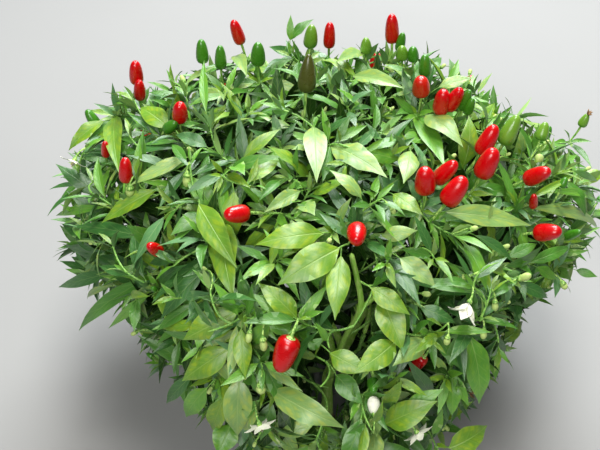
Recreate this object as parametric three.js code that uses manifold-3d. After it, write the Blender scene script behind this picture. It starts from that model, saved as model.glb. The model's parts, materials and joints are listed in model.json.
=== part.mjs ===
// A bushy chilli pepper plant rooted in the ground: a leaning main stem, five boughs, a branch to each
// mass of foliage, and masses of twigs, leaves, upright pods and blossom that make a low dome.
// Millimetres, +Z up, with the origin at the middle of the flat cut under the main stem. The side that is
// looked at faces -Y.
import * as THREE from "three";
import { mergeVertices } from "three/addons/utils/BufferGeometryUtils.js";
import Module from "manifold-3d";

const wasm = await Module();
wasm.setup();

// The crown is a dome round this middle, longer to the sides than to the front and back.
const CROWN_MIDDLE = new THREE.Vector3(0, 60, 133);
const CROWN_HALF_WIDTH = 195;
const CROWN_FRONT = 180;
const CROWN_BACK = 152;
const CROWN_RISE = 140;
const CROWN_DROP = 130;
const BACK_SPREAD = 0.3; // how much wider the crown is at its back, and how much narrower in front
const UPPER_POWER = 2.6; // how square the crown is above its middle, where 2 is round
const LOWER_POWER = 1.7;
const LOWEST_LEAF = 6;

// The main stem leans from its foot to its fork.
const STEM_LINE = [
  [0, 0, -8],
  [0, 1, 28],
  [1, 5, 62],
  [13, 12, 88],
  [23, 20, 114],
];
const STEM_FOOT_RADIUS = 4.6;
const STEM_TOP_RADIUS = 3.4;
const ROOT_FLARE = 3.4;
const ROOT_FLARE_HEIGHT = 9;
const STEM_SIDES = 8;
const STEM_STEPS = 10;

// Boughs leave the main stem one above the other, each with its share of the way up and its bearing in
// degrees.
const BOUGHS = [
  { name: "bough_left", along: 0.62, bearing: 162 },
  { name: "bough_front_left", along: 0.72, bearing: 226 },
  { name: "bough_front_right", along: 0.82, bearing: 308 },
  { name: "bough_back", along: 0.91, bearing: 92 },
  { name: "bough_right", along: 1, bearing: 18 },
];
const BOUGH_REACH = 0.3; // of the way from the crown's middle to its outside
const BOUGH_RISE = 12; // degrees above the crown's middle
const BOUGH_RADIUS = 2.9;
const BRANCH_RADIUS = 2.2;
const TWIG_RADIUS = 1.6;
const LIMB_SIDES = 5;
const LIMB_STEPS = 3;
const JOINT_GAP = 0.3;

// Masses of foliage stand in four rings. first is the bearing of a ring's first mass, and rise its angle
// above the crown's middle.
const RINGS = [
  { name: "top", count: 1, first: 0, rise: 88 },
  { name: "upper", count: 5, first: 270, rise: 52 },
  { name: "shoulder", count: 7, first: 245, rise: 19 },
  { name: "skirt", count: 8, first: 247, rise: -16 },
];
const MASS_AT = 0.66; // of the way from the crown's middle to its outside
const BRANCH_ENDS_AT = 0.4;
const SPACE_GAP = 0.2;
const CORNER_GRID = 0.002;
const SEED = 7321;

// How a mass grows: its shoots reach for buds spread evenly over the outer part of its space, each from
// the nearest place on the shoots that stand already.
const BUDS = 6;
const BUD_REACH = [0.62, 0.9]; // of the way from the crown's middle to its outside
const BUD_MARGIN = 7;
const BUD_CHOICES = 40;
const BUD_ROOM = 165; // the width round its seed in which a mass looks for buds
const FIRST_SHOOT = 16;
const SHOOT_TAPER = 0.75;
const SHOOT_LEAST_RADIUS = 0.9;

// Leaves stand at the end of a shoot and along it, turned by the golden angle from one to the next.
const GOLDEN_TURN = 137.5;
const LEAF_LENGTH = 52;
const LEAF_WIDTH = 22;
const LEAF_ANGLE = 58; // degrees between a leaf and its shoot
const LEAF_SHARES = [0.4, 0.6, 0.79, 0.96]; // of the way along a shoot
const LEAF_THICKNESS = 0.9;
const LEAF_FOLD = 0.3; // how far the edges stand over the midrib, as a share of the half width
const LEAF_TRIES = 18;
const LEAST_LEAVES = 19;
const LEAF_CLEARANCE = 3.2;
const LIMB_CLEARANCE = 2.6;

// Pods and blossom: bearing and rise on the crown, share of the way out, and lean from upright, in degrees.
const RIPE_PODS = [
  [111, 48, 1.04, 14],
  [90, 50, 1.01, -2],
  [74, 49, 1.04, -4],
  [31, 70, 0.98, -9],
  [16, 67, 0.97, 10],
  [348, 60, 0.97, 23],
  [336, 57, 0.98, 16],
  [313, 63, 0.98, -5],
  [322, 64, 0.97, 30],
  [317, 59, 0.99, 25],
  [346, 48, 0.98, 43],
  [334, 40, 0.98, 59],
  [278, 61, 0.99, 76],
  [234, 60, 0.98, 63],
  [170, 59, 0.97, -18],
  [191, 45, 0.98, -6],
  [139, 41, 1.02, -7],
  [212, 40, 0.93, 36],
  [257, 38, 0.97, 146],
  [296, 26, 0.88, -159],
  [200, 8, 0.95, 60],
  [60, 24, 0.96, 30],
  [110, 18, 0.96, 35],
  [80, 30, 0.96, 22],
];
const GREEN_PODS = [
  [122, 46, 1.02, 0],
  [127, 57, 1, -3],
  [117, 61, 1, -7],
  [119, 80, 1.02, 7],
  [95, 50, 1.02, -9],
  [66, 55, 1, -16],
  [15, 63, 0.98, 20],
  [356, 56, 0.98, 23],
  [6, 47, 0.98, 10],
  [345, 28, 0.97, 35],
  [23, 32, 1.02, 26],
  [280, 25, 0.9, 68],
  [150, 28, 0.97, 32],
  [40, 12, 0.97, 40],
  [180, 14, 0.96, 44],
];
const BLOSSOM = [
  [307, 38, 1, 129],
  [250, 13, 1, 143],
  [291, 10, 1, 137],
  [167, 29, 1, 130],
  [280, 26, 1, 123],
  [60, 36, 0.98, 120],
];
const POD_LENGTH = 23;
const POD_RADIUS = 6.6;
const GREEN_POD_LENGTH = 20;
const GREEN_POD_RADIUS = 5.4;
const BLOSSOM_RADIUS = 8;
const BLOSSOM_DEPTH = 6;
const POD_SIDES = 5;
const STALK_RADIUS = 0.9;

// Outlines of turned pieces: pairs of radius and height, each a share of the full size.
const TWIG_OUTLINE = [[0, 0], [1, 0.1], [0.65, 1], [0, 1]];
const POD_OUTLINE = [[0, 0], [1, 0.2], [0.6, 0.9], [0, 1]];
const BLOSSOM_OUTLINE = [[0, 0], [0.3, 0.05], [1, 0.8], [0, 0.6]];

const UP = new THREE.Vector3(0, 0, 1);
const SIDEWAYS = new THREE.Vector3(1, 0, 0);

function material(name, colour, roughness) {
  return new THREE.MeshStandardMaterial({ name, color: colour, roughness, metalness: 0 });
}

const MATERIALS = {
  stem: material("stem", 0x5f8a3c, 0.6),
  foliage: material("foliage", 0x4f8f3a, 0.5),
};

// The same short random series for the same seed, from 0 up to 1.
function seeded(seed) {
  let state = seed >>> 0;
  return () => {
    state = (Math.imul(state, 1664525) + 1013904223) >>> 0;
    return state / 4294967296;
  };
}

function solidOf(geometry) {
  const bare = geometry.clone();
  bare.deleteAttribute("normal");
  bare.deleteAttribute("uv");
  const merged = mergeVertices(bare, 1e-4);
  return new wasm.Manifold(
    new wasm.Mesh({
      numProp: 3,
      vertProperties: merged.attributes.position.array,
      triVerts: new Uint32Array(merged.index.array),
    }),
  );
}

// The largest closed body of a solid, without loose scraps or sealed hollows, its corners on a fine grid.
function mainBody(solid) {
  const largest = (whole) => whole.decompose().reduce((a, b) => (b.volume() > a.volume() ? b : a));
  const geometry = geometryOf(largest(solid));
  const values = geometry.attributes.position.array;
  values.forEach((value, i) => {
    values[i] = Math.round(value / CORNER_GRID) * CORNER_GRID;
  });
  return largest(solidOf(geometry));
}

function geometryOf(solid) {
  const mesh = solid.getMesh();
  const positions = new Float32Array(mesh.numVert * 3);
  for (let i = 0; i < mesh.numVert; i++) {
    positions.set(mesh.vertProperties.subarray(i * mesh.numProp, i * mesh.numProp + 3), i * 3);
  }
  return new THREE.BufferGeometry()
    .setAttribute("position", new THREE.BufferAttribute(positions, 3))
    .setIndex(new THREE.BufferAttribute(mesh.triVerts, 1));
}

// True if every edge of a solid, its corners joined by place, is shared by exactly two faces.
function isSound(solid) {
  const { index } = mergeVertices(geometryOf(solid), 1e-4);
  const uses = new Map();
  for (let i = 0; i < index.count; i++) {
    const [from, to] = [index.getX(i), index.getX(i % 3 === 2 ? i - 2 : i + 1)];
    const edge = `${Math.min(from, to)} ${Math.max(from, to)}`;
    uses.set(edge, (uses.get(edge) ?? 0) + 1);
  }
  return [...uses.values()].every((count) => count === 2);
}

// A cylinder bent along a curve, with a radius for each share of the way.
function limbGeometry(curve, radiusAt, sides, steps) {
  const geometry = new THREE.CylinderGeometry(1, 1, 1, sides, steps);
  const frames = curve.computeFrenetFrames(steps);
  const position = geometry.attributes.position;
  for (let i = 0; i < position.count; i++) {
    const share = position.getY(i) + 0.5;
    const step = Math.round(share * steps);
    const radius = radiusAt(step / steps);
    const point = curve
      .getPointAt(step / steps)
      .addScaledVector(frames.normals[step], position.getX(i) * radius)
      .addScaledVector(frames.binormals[step], -position.getZ(i) * radius);
    position.setXYZ(i, point.x, point.y, point.z);
  }
  return geometry;
}

function direction(bearing, rise) {
  const turn = THREE.MathUtils.degToRad(bearing);
  const tilt = THREE.MathUtils.degToRad(rise);
  const level = Math.cos(tilt);
  return new THREE.Vector3(level * Math.cos(turn), level * Math.sin(turn), Math.sin(tilt));
}

// The half sizes of the crown on the side of its middle that a way from there points to.
function crownSizes(way) {
  return new THREE.Vector3(
    CROWN_HALF_WIDTH,
    way.y < 0 ? CROWN_FRONT : CROWN_BACK,
    way.z < 0 ? CROWN_DROP : CROWN_RISE,
  );
}

// A way's share of the crown's reach: the crown is squarer than a ball above its middle, and slopes in
// below it.
function reachOf(way) {
  const power = way.z < 0 ? LOWER_POWER : UPPER_POWER;
  return (Math.hypot(way.x, way.y) ** power + Math.abs(way.z) ** power) ** (1 / power);
}

// The way to a point from the crown's middle, in shares of the crown's half sizes.
function sharesOf(point) {
  const way = point.clone().sub(CROWN_MIDDLE);
  way.divide(crownSizes(way));
  way.x /= 1 + BACK_SPREAD * way.y;
  return way;
}

// A point at a share of the way from the crown's middle to its outside.
function onCrown(bearing, rise, share) {
  const way = direction(bearing, rise);
  way.multiplyScalar(share / reachOf(way));
  way.x *= 1 + BACK_SPREAD * way.y;
  return way.multiply(crownSizes(way)).add(CROWN_MIDDLE);
}

function shareOut(point) {
  return reachOf(sharesOf(point));
}

function outward(point) {
  return sharesOf(point).normalize();
}

// The room below the ground, and the limbs that stand so far.
const soil = solidOf(new THREE.BoxGeometry(60, 60, 40).translate(0, 0, -20));
const limbs = [];

// Adds a limb, cut back 0.3 mm clear of every limb that is there already.
function addLimb(name, curve, radiusAt, sides, steps) {
  let solid = solidOf(limbGeometry(curve, radiusAt, sides, steps));
  const end = curve.getPointAt(1);
  const past = end.clone().addScaledVector(curve.getTangentAt(1), JOINT_GAP);
  const inflated = solidOf(limbGeometry(curve, (share) => radiusAt(share) + JOINT_GAP, sides, steps));
  const tipLine = new THREE.LineCurve3(end, past);
  const cap = solidOf(limbGeometry(tipLine, () => radiusAt(1) + JOINT_GAP, sides, 1));
  for (const room of [soil, ...limbs.map((limb) => limb.room)]) {
    solid = solid.subtract(room);
  }
  const line = curve.getSpacedPoints(steps * 3);
  const limb = { name, curve, radiusAt, solid: mainBody(solid), room: inflated.add(cap), line };
  limbs.push(limb);
  return limb;
}

function taper(from, to) {
  return (share) => from + (to - from) * share;
}

// A limb from a share of the way along its parent, leaving it at a slant and bending round to its end.
function arc(parent, along, end) {
  const start = parent.getPointAt(along);
  const length = start.distanceTo(end);
  const slant = end.clone().sub(start).normalize().add(parent.getTangentAt(along)).normalize();
  return new THREE.QuadraticBezierCurve3(start, start.clone().addScaledVector(slant, 0.45 * length), end);
}

function buildMainStem() {
  const curve = new THREE.CatmullRomCurve3(STEM_LINE.map((p) => new THREE.Vector3(...p)));
  const radiusAt = (share) => {
    const height = Math.max(curve.getPointAt(share).z, 0);
    const flare = ROOT_FLARE * Math.exp(-height / ROOT_FLARE_HEIGHT);
    return taper(STEM_FOOT_RADIUS, STEM_TOP_RADIUS)(share) + flare;
  };
  return addLimb("main_stem", curve, radiusAt, STEM_SIDES, STEM_STEPS);
}

function buildBoughs(stem) {
  return BOUGHS.map(({ name, along, bearing }) => {
    const end = onCrown(bearing, BOUGH_RISE, BOUGH_REACH);
    const curve = arc(stem.curve, along, end);
    return { ...addLimb(name, curve, taper(BOUGH_RADIUS, BRANCH_RADIUS), LIMB_SIDES, LIMB_STEPS), end };
  });
}

// Where each mass stands: its seed point, and the end of the branch that carries it.
function placeMasses() {
  return RINGS.flatMap((ring) =>
    Array.from({ length: ring.count }, (_, i) => {
      const bearing = ring.first + (360 / ring.count) * i;
      return {
        name: `${ring.name}_${i + 1}`,
        seed: onCrown(bearing, ring.rise, MASS_AT),
        branchEnd: onCrown(bearing, ring.rise, BRANCH_ENDS_AT),
      };
    }),
  );
}

// A branch from the nearest bough to each mass. Branches of one bough start one behind the other.
function buildBranches(boughs, masses) {
  const taken = new Map();
  return masses.map((mass) => {
    const bough = boughs.reduce((a, b) =>
      b.end.distanceTo(mass.branchEnd) < a.end.distanceTo(mass.branchEnd) ? b : a,
    );
    const count = taken.get(bough.name) ?? 0;
    taken.set(bough.name, count + 1);
    const curve = arc(bough.curve, 1 - 0.13 * count, mass.branchEnd);
    return addLimb(`branch_${mass.name}`, curve, taper(BRANCH_RADIUS, TWIG_RADIUS), LIMB_SIDES, LIMB_STEPS);
  });
}

// Distance of a point from a limb's surface, by the straight stretches of its line.
function distanceToLimb(point, limb) {
  const nearest = new THREE.Vector3();
  let least = Infinity;
  limb.line.slice(1).forEach((to, i) => {
    new THREE.Line3(limb.line[i], to).closestPointToPoint(point, true, nearest);
    const share = (i + 0.5) / (limb.line.length - 1);
    least = Math.min(least, nearest.distanceTo(point) - limb.radiusAt(share));
  });
  return least;
}

function pointsOf(geometry) {
  const position = geometry.attributes.position;
  const indices = [...Array(position.count).keys()];
  return indices.map((i) => new THREE.Vector3().fromBufferAttribute(position, i));
}

// Points spread over every face of a piece.
function samplesOf(geometry) {
  const corners = pointsOf(geometry.index ? geometry.toNonIndexed() : geometry);
  const samples = [];
  const parts = 4;
  for (let i = 0; i < corners.length; i += 3) {
    const face = new THREE.Triangle(corners[i], corners[i + 1], corners[i + 2]);
    for (let u = 0; u <= parts; u++) {
      for (let v = 0; v <= parts - u; v++) {
        samples.push(
          face.a
            .clone()
            .multiplyScalar(u / parts)
            .addScaledVector(face.b, v / parts)
            .addScaledVector(face.c, (parts - u - v) / parts),
        );
      }
    }
  }
  return samples;
}

// True if every point is nearer this mass's seed than any other by a gap, inside the crown and off the
// ground.
function insideSpace(points, mass, masses, reach, gap = SPACE_GAP) {
  return points.every(
    (p) =>
      p.z > LOWEST_LEAF + gap &&
      shareOut(p) < reach &&
      masses.every((other) => {
        const apart = other.seed.distanceTo(mass.seed);
        const nearer = p.distanceToSquared(other.seed) - p.distanceToSquared(mass.seed);
        return other === mass || nearer > 2 * gap * apart;
      }),
  );
}

function clearOfLimbs(samples) {
  const around = new THREE.Sphere().setFromPoints(samples);
  return limbs.every(
    (limb) =>
      distanceToLimb(around.center, limb) > around.radius + LIMB_CLEARANCE ||
      samples.every((p) => distanceToLimb(p, limb) > LIMB_CLEARANCE),
  );
}

// True if no point of a piece, past its root, comes near the pods, shoots or leaves that stand already.
function clearOfPieces(samples, root, pieces) {
  const nearest = new THREE.Vector3();
  return pieces.every(({ line, room, around, samples: others }) => {
    if (line) {
      const past = samples.filter((p) => p.distanceTo(root) > 2 * LEAF_CLEARANCE);
      return past.every((p) => line.closestPointToPoint(p, true, nearest).distanceTo(p) > room);
    }
    const sphere = new THREE.Sphere().setFromPoints(samples);
    if (!sphere.intersectsSphere(around)) return true;
    return samples.every((p) =>
      others.every((q) => p.distanceToSquared(q) > room * room || p.distanceTo(root) < 2 * LEAF_CLEARANCE),
    );
  });
}

// A direction tilted from an axis by an angle, turned round it by another, both in degrees.
function tilted(axis, angle, turn) {
  const side = new THREE.Vector3().crossVectors(axis, Math.abs(axis.z) > 0.9 ? SIDEWAYS : UP).normalize();
  return axis
    .clone()
    .applyAxisAngle(side, THREE.MathUtils.degToRad(angle))
    .applyAxisAngle(axis, THREE.MathUtils.degToRad(turn));
}

function turnedGeometry(outline, radius, length, sides) {
  const points = outline.map(([r, h]) => new THREE.Vector2(r * radius, h * length));
  return new THREE.LatheGeometry(points, sides).rotateX(Math.PI / 2);
}

function placed(geometry, start, way) {
  const turn = new THREE.Quaternion().setFromUnitVectors(UP, way);
  return geometry.applyQuaternion(turn).translate(start.x, start.y, start.z);
}

// A three-sided twig: its root is a point, sunk to the middle of what it stands on.
function twigGeometry(start, end, radius) {
  const way = end.clone().sub(start);
  return placed(turnedGeometry(TWIG_OUTLINE, radius, way.length(), 3), start, way.normalize());
}

// A leaf of eight faces: an octahedron drawn out from its root to its tip, folded up along its midrib.
function leafGeometry(root, along, light, length, width) {
  const side = new THREE.Vector3().crossVectors(light, along).normalize();
  const normal = new THREE.Vector3().crossVectors(along, side);
  const geometry = new THREE.OctahedronGeometry(1, 0);
  const position = geometry.attributes.position;
  for (let i = 0; i < position.count; i++) {
    const [x, y, z] = [position.getX(i), position.getY(i), position.getZ(i)];
    const far = 0.5 + 0.5 * x - 0.08 * (Math.abs(y) + Math.abs(z));
    const arch = length * 0.1 * (x > 0.5 ? -1 : 1) * (x < -0.5 ? 0 : 1);
    const rise = arch + Math.abs(y) * LEAF_FOLD * width * 0.5 + z * LEAF_THICKNESS * 0.5;
    const point = root
      .clone()
      .addScaledVector(along, far * length)
      .addScaledVector(side, y * width * 0.5)
      .addScaledVector(normal, rise);
    position.setXYZ(i, point.x, point.y, point.z);
  }
  return geometry;
}

// The way a leaf points and the light that its upper face turns to.
function leafPose(shootWay, turn, point, mass, random) {
  const aside = point.clone().sub(mass.seed).normalize();
  const along = tilted(shootWay, LEAF_ANGLE + 20 * (random() - 0.5), turn)
    .addScaledVector(outward(point), 0.25)
    .addScaledVector(aside, 0.4 * random())
    .addScaledVector(UP, -0.1)
    .normalize();
  const light = outward(point).multiplyScalar(0.6).addScaledVector(UP, 0.8).normalize();
  return [along, light];
}

// Places for buds, each the farthest of several choices from the buds before it.
function placeBuds(mass, masses, random) {
  const buds = [];
  while (buds.length < BUDS) {
    let best = null;
    let most = -1;
    for (let i = 0; i < BUD_CHOICES; i++) {
      const offset = new THREE.Vector3(random() - 0.5, random() - 0.5, random() - 0.5);
      const place = mass.seed.clone().addScaledVector(offset, BUD_ROOM);
      if (shareOut(place) < BUD_REACH[0] || !clearOfLimbs([place])) continue;
      if (!insideSpace([place], mass, masses, BUD_REACH[1], BUD_MARGIN)) continue;
      const alone = Math.min(...buds.map((bud) => bud.distanceTo(place)), CROWN_HALF_WIDTH);
      if (alone > most) {
        most = alone;
        best = place;
      }
    }
    if (best) buds.push(best);
  }
  return buds.sort((a, b) => a.distanceTo(mass.branchEnd) - b.distanceTo(mass.branchEnd));
}

// Every shoot of a mass: the first goes on from its branch, and each other reaches from the nearest one
// to a bud.
function growShoots(start, way, mass, masses, random) {
  const first = new THREE.LineCurve3(start, start.clone().addScaledVector(way, FIRST_SHOOT));
  const shoots = [{ line: first, radius: TWIG_RADIUS }];
  for (const bud of placeBuds(mass, masses, random)) {
    const joints = shoots.flatMap((shoot) => [0.4, 0.7, 0.95].map((share) => ({ shoot, share })));
    const far = ({ shoot, share }) => shoot.line.getPointAt(share).distanceTo(bud);
    joints.sort((a, b) => far(a) - far(b));
    for (const { shoot, share } of joints) {
      const line = new THREE.LineCurve3(shoot.line.getPointAt(share), bud);
      const points = line.getPoints(6);
      if (insideSpace(points, mass, masses, 0.95, 1) && clearOfLimbs(points.slice(1))) {
        shoots.push({ line, radius: Math.max(shoot.radius * SHOOT_TAPER, SHOOT_LEAST_RADIUS) });
        break;
      }
    }
  }
  return shoots;
}

function growLeaves(shoots, mass, masses, standing, random) {
  const leaves = [];
  for (const { line } of shoots.slice(1)) {
    const turn = 360 * random();
    LEAF_SHARES.forEach((share, i) => {
      const root = line.getPointAt(share);
      const way = line.getTangentAt(share);
      for (let go = 0; go < LEAF_TRIES; go++) {
        const size = (0.9 + 0.25 * random()) * (1 - 0.022 * go);
        const [heading, light] = leafPose(way, turn + GOLDEN_TURN * (i + go), root, mass, random);
        const leaf = leafGeometry(root, heading, light, LEAF_LENGTH * size, LEAF_WIDTH * size);
        const samples = samplesOf(leaf);
        const free = insideSpace(pointsOf(leaf), mass, masses, 1) && clearOfLimbs(samples);
        if (free && clearOfPieces(samples, root, standing)) {
          leaves.push(leaf);
          const around = new THREE.Sphere().setFromPoints(samples);
          standing.push({ samples, around, room: LEAF_CLEARANCE });
          break;
        }
      }
    });
  }
  return leaves;
}

// A pod or a flower on its stalk, from the nearest node of the mass to its place on the crown.
function hangPiece([bearing, rise, share, lean], { outline, radius, length }, nodes, mass, masses) {
  const wanted = onCrown(bearing, rise, share);
  for (let pull = 0; pull < 0.6; pull += 0.06) {
    const base = wanted.clone().lerp(mass.seed, pull);
    const out = outward(base).setZ(0).normalize();
    const hinge = new THREE.Vector3().crossVectors(UP, out);
    const way = UP.clone().applyAxisAngle(hinge, THREE.MathUtils.degToRad(lean));
    const body = placed(turnedGeometry(outline, radius, length, POD_SIDES), base, way);
    const node = nodes.reduce((a, b) => (b.distanceTo(base) < a.distanceTo(base) ? b : a));
    const tip = base.clone().addScaledVector(way, length);
    const stalk = twigGeometry(node, base.clone().lerp(tip, 0.1), STALK_RADIUS);
    const points = [...pointsOf(body), ...pointsOf(stalk)];
    if (insideSpace(points, mass, masses, 1.25) && clearOfLimbs(points)) {
      return { pieces: [body, stalk], line: new THREE.Line3(base, tip), room: radius + 0.8 };
    }
  }
  return null;
}

const PIECES = [
  [RIPE_PODS, { outline: POD_OUTLINE, radius: POD_RADIUS, length: POD_LENGTH }],
  [GREEN_PODS, { outline: POD_OUTLINE, radius: GREEN_POD_RADIUS, length: GREEN_POD_LENGTH }],
  [BLOSSOM, { outline: BLOSSOM_OUTLINE, radius: BLOSSOM_RADIUS, length: BLOSSOM_DEPTH }],
];

// The mass whose space holds a place on the crown.
function owner([bearing, rise, share], masses) {
  const place = onCrown(bearing, rise, share);
  return masses.reduce((a, b) => (b.seed.distanceTo(place) < a.seed.distanceTo(place) ? b : a));
}

// A mass as one solid. A seed that grows too few leaves, or pieces that meet edge to edge, gives way to
// the next.
function buildMass(mass, branch, masses, seed) {
  const random = seeded(seed);
  const way = branch.curve.getTangentAt(1);
  const start = branch.curve.getPointAt(1).addScaledVector(way, JOINT_GAP);
  const shoots = growShoots(start, way, mass, masses, random);
  const nodes = shoots.slice(1).flatMap(({ line }) => [line.getPointAt(0.6), line.getPointAt(0.95)]);
  const hung = PIECES.flatMap(([places, piece]) =>
    places
      .filter((place) => owner(place, masses) === mass)
      .map((place) => hangPiece(place, piece, nodes, mass, masses))
      .filter(Boolean),
  );
  const lines = shoots.map(({ line }) => ({
    line: new THREE.Line3(line.getPointAt(0), line.getPointAt(1)),
    room: LEAF_CLEARANCE,
  }));
  const leaves = growLeaves(shoots, mass, masses, [...hung, ...lines], random);
  const stem = limbGeometry(shoots[0].line, () => TWIG_RADIUS, 3, 1);
  const twigs = shoots.slice(1).map(({ line, radius }) => twigGeometry(line.v1, line.v2, radius));
  const pieces = [stem, ...twigs, ...leaves, ...hung.flatMap((piece) => piece.pieces)];
  const solid = mainBody(wasm.Manifold.union(pieces.map(solidOf)));
  if (leaves.length < LEAST_LEAVES || !isSound(solid)) return buildMass(mass, branch, masses, seed + 1);
  return solid;
}

function named(name, solid, finish) {
  const mesh = new THREE.Mesh(geometryOf(solid), finish);
  mesh.name = name;
  return mesh;
}

function buildPlant() {
  const plant = new THREE.Group();
  const stem = buildMainStem();
  const boughs = buildBoughs(stem);
  const masses = placeMasses();
  const branches = buildBranches(boughs, masses);
  for (const limb of limbs) {
    plant.add(named(limb.name, limb.solid, MATERIALS.stem));
  }
  masses.forEach((mass, index) => {
    const solid = buildMass(mass, branches[index], masses, SEED + 97 * index);
    plant.add(named(`foliage_${mass.name}`, solid, MATERIALS.foliage));
  });
  return plant;
}

export default buildPlant();
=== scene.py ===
"""A bushy chilli pepper plant in leaf, flower and fruit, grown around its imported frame.

The growth rule works in millimetres, in the frame's own axes: +Z is up, and the origin is at the middle of
the flat cut under the main stem. Meshes are made in metres.
"""

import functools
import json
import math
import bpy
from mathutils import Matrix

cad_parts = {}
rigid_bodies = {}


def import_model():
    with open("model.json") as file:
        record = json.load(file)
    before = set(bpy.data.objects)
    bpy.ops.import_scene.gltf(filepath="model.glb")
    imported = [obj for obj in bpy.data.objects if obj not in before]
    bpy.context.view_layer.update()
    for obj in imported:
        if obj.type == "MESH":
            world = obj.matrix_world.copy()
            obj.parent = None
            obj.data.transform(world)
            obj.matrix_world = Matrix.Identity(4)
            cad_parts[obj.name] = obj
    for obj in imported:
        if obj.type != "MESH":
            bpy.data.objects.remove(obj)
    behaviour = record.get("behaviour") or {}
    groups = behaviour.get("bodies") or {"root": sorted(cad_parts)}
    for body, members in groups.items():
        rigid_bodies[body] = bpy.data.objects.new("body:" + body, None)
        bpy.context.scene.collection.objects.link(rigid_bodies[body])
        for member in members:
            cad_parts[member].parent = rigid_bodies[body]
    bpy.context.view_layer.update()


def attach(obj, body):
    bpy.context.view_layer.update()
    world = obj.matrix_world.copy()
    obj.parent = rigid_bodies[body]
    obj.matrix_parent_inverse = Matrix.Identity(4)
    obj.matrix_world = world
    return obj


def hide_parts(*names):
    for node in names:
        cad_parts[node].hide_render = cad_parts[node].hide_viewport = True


bl_info = {
    "name": "Chilli pepper plant",
    "version": (1, 0, 0),
    "blender": (4, 5, 0),
    "location": "View3D > Sidebar > Chilli plant",
    "description": "Grows a bushy chilli pepper plant with its leaves, pods and flowers",
    "category": "Add Mesh",
}

import bpy
import numpy as np
from bpy.props import FloatProperty, FloatVectorProperty, PointerProperty
from mathutils import Matrix

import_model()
MM = 0.001

# The crown, the main stem and its boughs, as the frame has them.
CROWN_MIDDLE = np.array([0.0, 60.0, 133.0])
CROWN_HALF_WIDTH = 195.0
CROWN_FRONT = 180.0
CROWN_BACK = 152.0
CROWN_RISE = 140.0
CROWN_DROP = 130.0
BACK_SPREAD = 0.3
UPPER_POWER = 2.6
LOWER_POWER = 1.7
LOWEST_LEAF = 6.0
STEM_LINE = np.array([[0, 0, -8], [0, 1, 28], [1, 5, 62], [13, 12, 88], [23, 20, 114]], float)
STEM_FOOT_RADIUS = 4.6
STEM_TOP_RADIUS = 3.4
ROOT_FLARE = 3.4
ROOT_FLARE_HEIGHT = 9.0
BOUGHS = (
    ("bough_left", 0.62, 162),
    ("bough_front_left", 0.72, 226),
    ("bough_front_right", 0.82, 308),
    ("bough_back", 0.91, 92),
    ("bough_right", 1.0, 18),
)
BOUGH_REACH = 0.3
BOUGH_RISE = 12
BOUGH_RADIUS = 2.9
BRANCH_RADIUS = 2.2
TWIG_RADIUS = 1.6
LEAST_TWIG_RADIUS = 0.75
LEAST_STALK_RADIUS = 0.22
LIMB_SIDES = 20
LIMB_ROW = 1.6
LIMB_ATLAS_LENGTH = 60
STALK_POINTS = 9
RINGS = (("top", 1, 0, 88), ("upper", 5, 270, 52), ("shoulder", 7, 245, 19), ("skirt", 8, 247, -16))
MASS_AT = 0.66
BRANCH_ENDS_AT = 0.4
BRANCH_STEP = 0.13
FIRST_SHOOT = 16.0
GOLDEN_TURN = 137.5
UP = np.array([0.0, 0.0, 1.0])
SEED = 7321

# The view that the plant is seen from, in millimetres and degrees.
EYE_TARGET = np.array([-22.0, 63.0, 166.0])
EYE_DISTANCE = 700.0
EYE_ELEVATION = math.radians(46)
EYE_BACK = np.array([0.0, -math.cos(EYE_ELEVATION), math.sin(EYE_ELEVATION)])
EYE = EYE_TARGET + EYE_DISTANCE * EYE_BACK
EYE_UP = np.array([0.0, math.sin(EYE_ELEVATION), math.cos(EYE_ELEVATION)])
EYE_RIGHT = np.array([1.0, 0.0, 0.0])
LENS = 56.7
SENSOR = 36.0
PICTURE = (600, 450)
FOCAL = LENS / SENSOR * PICTURE[0]
RAY_DEPTHS = np.arange(350.0, 1100.0, 0.5)

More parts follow.
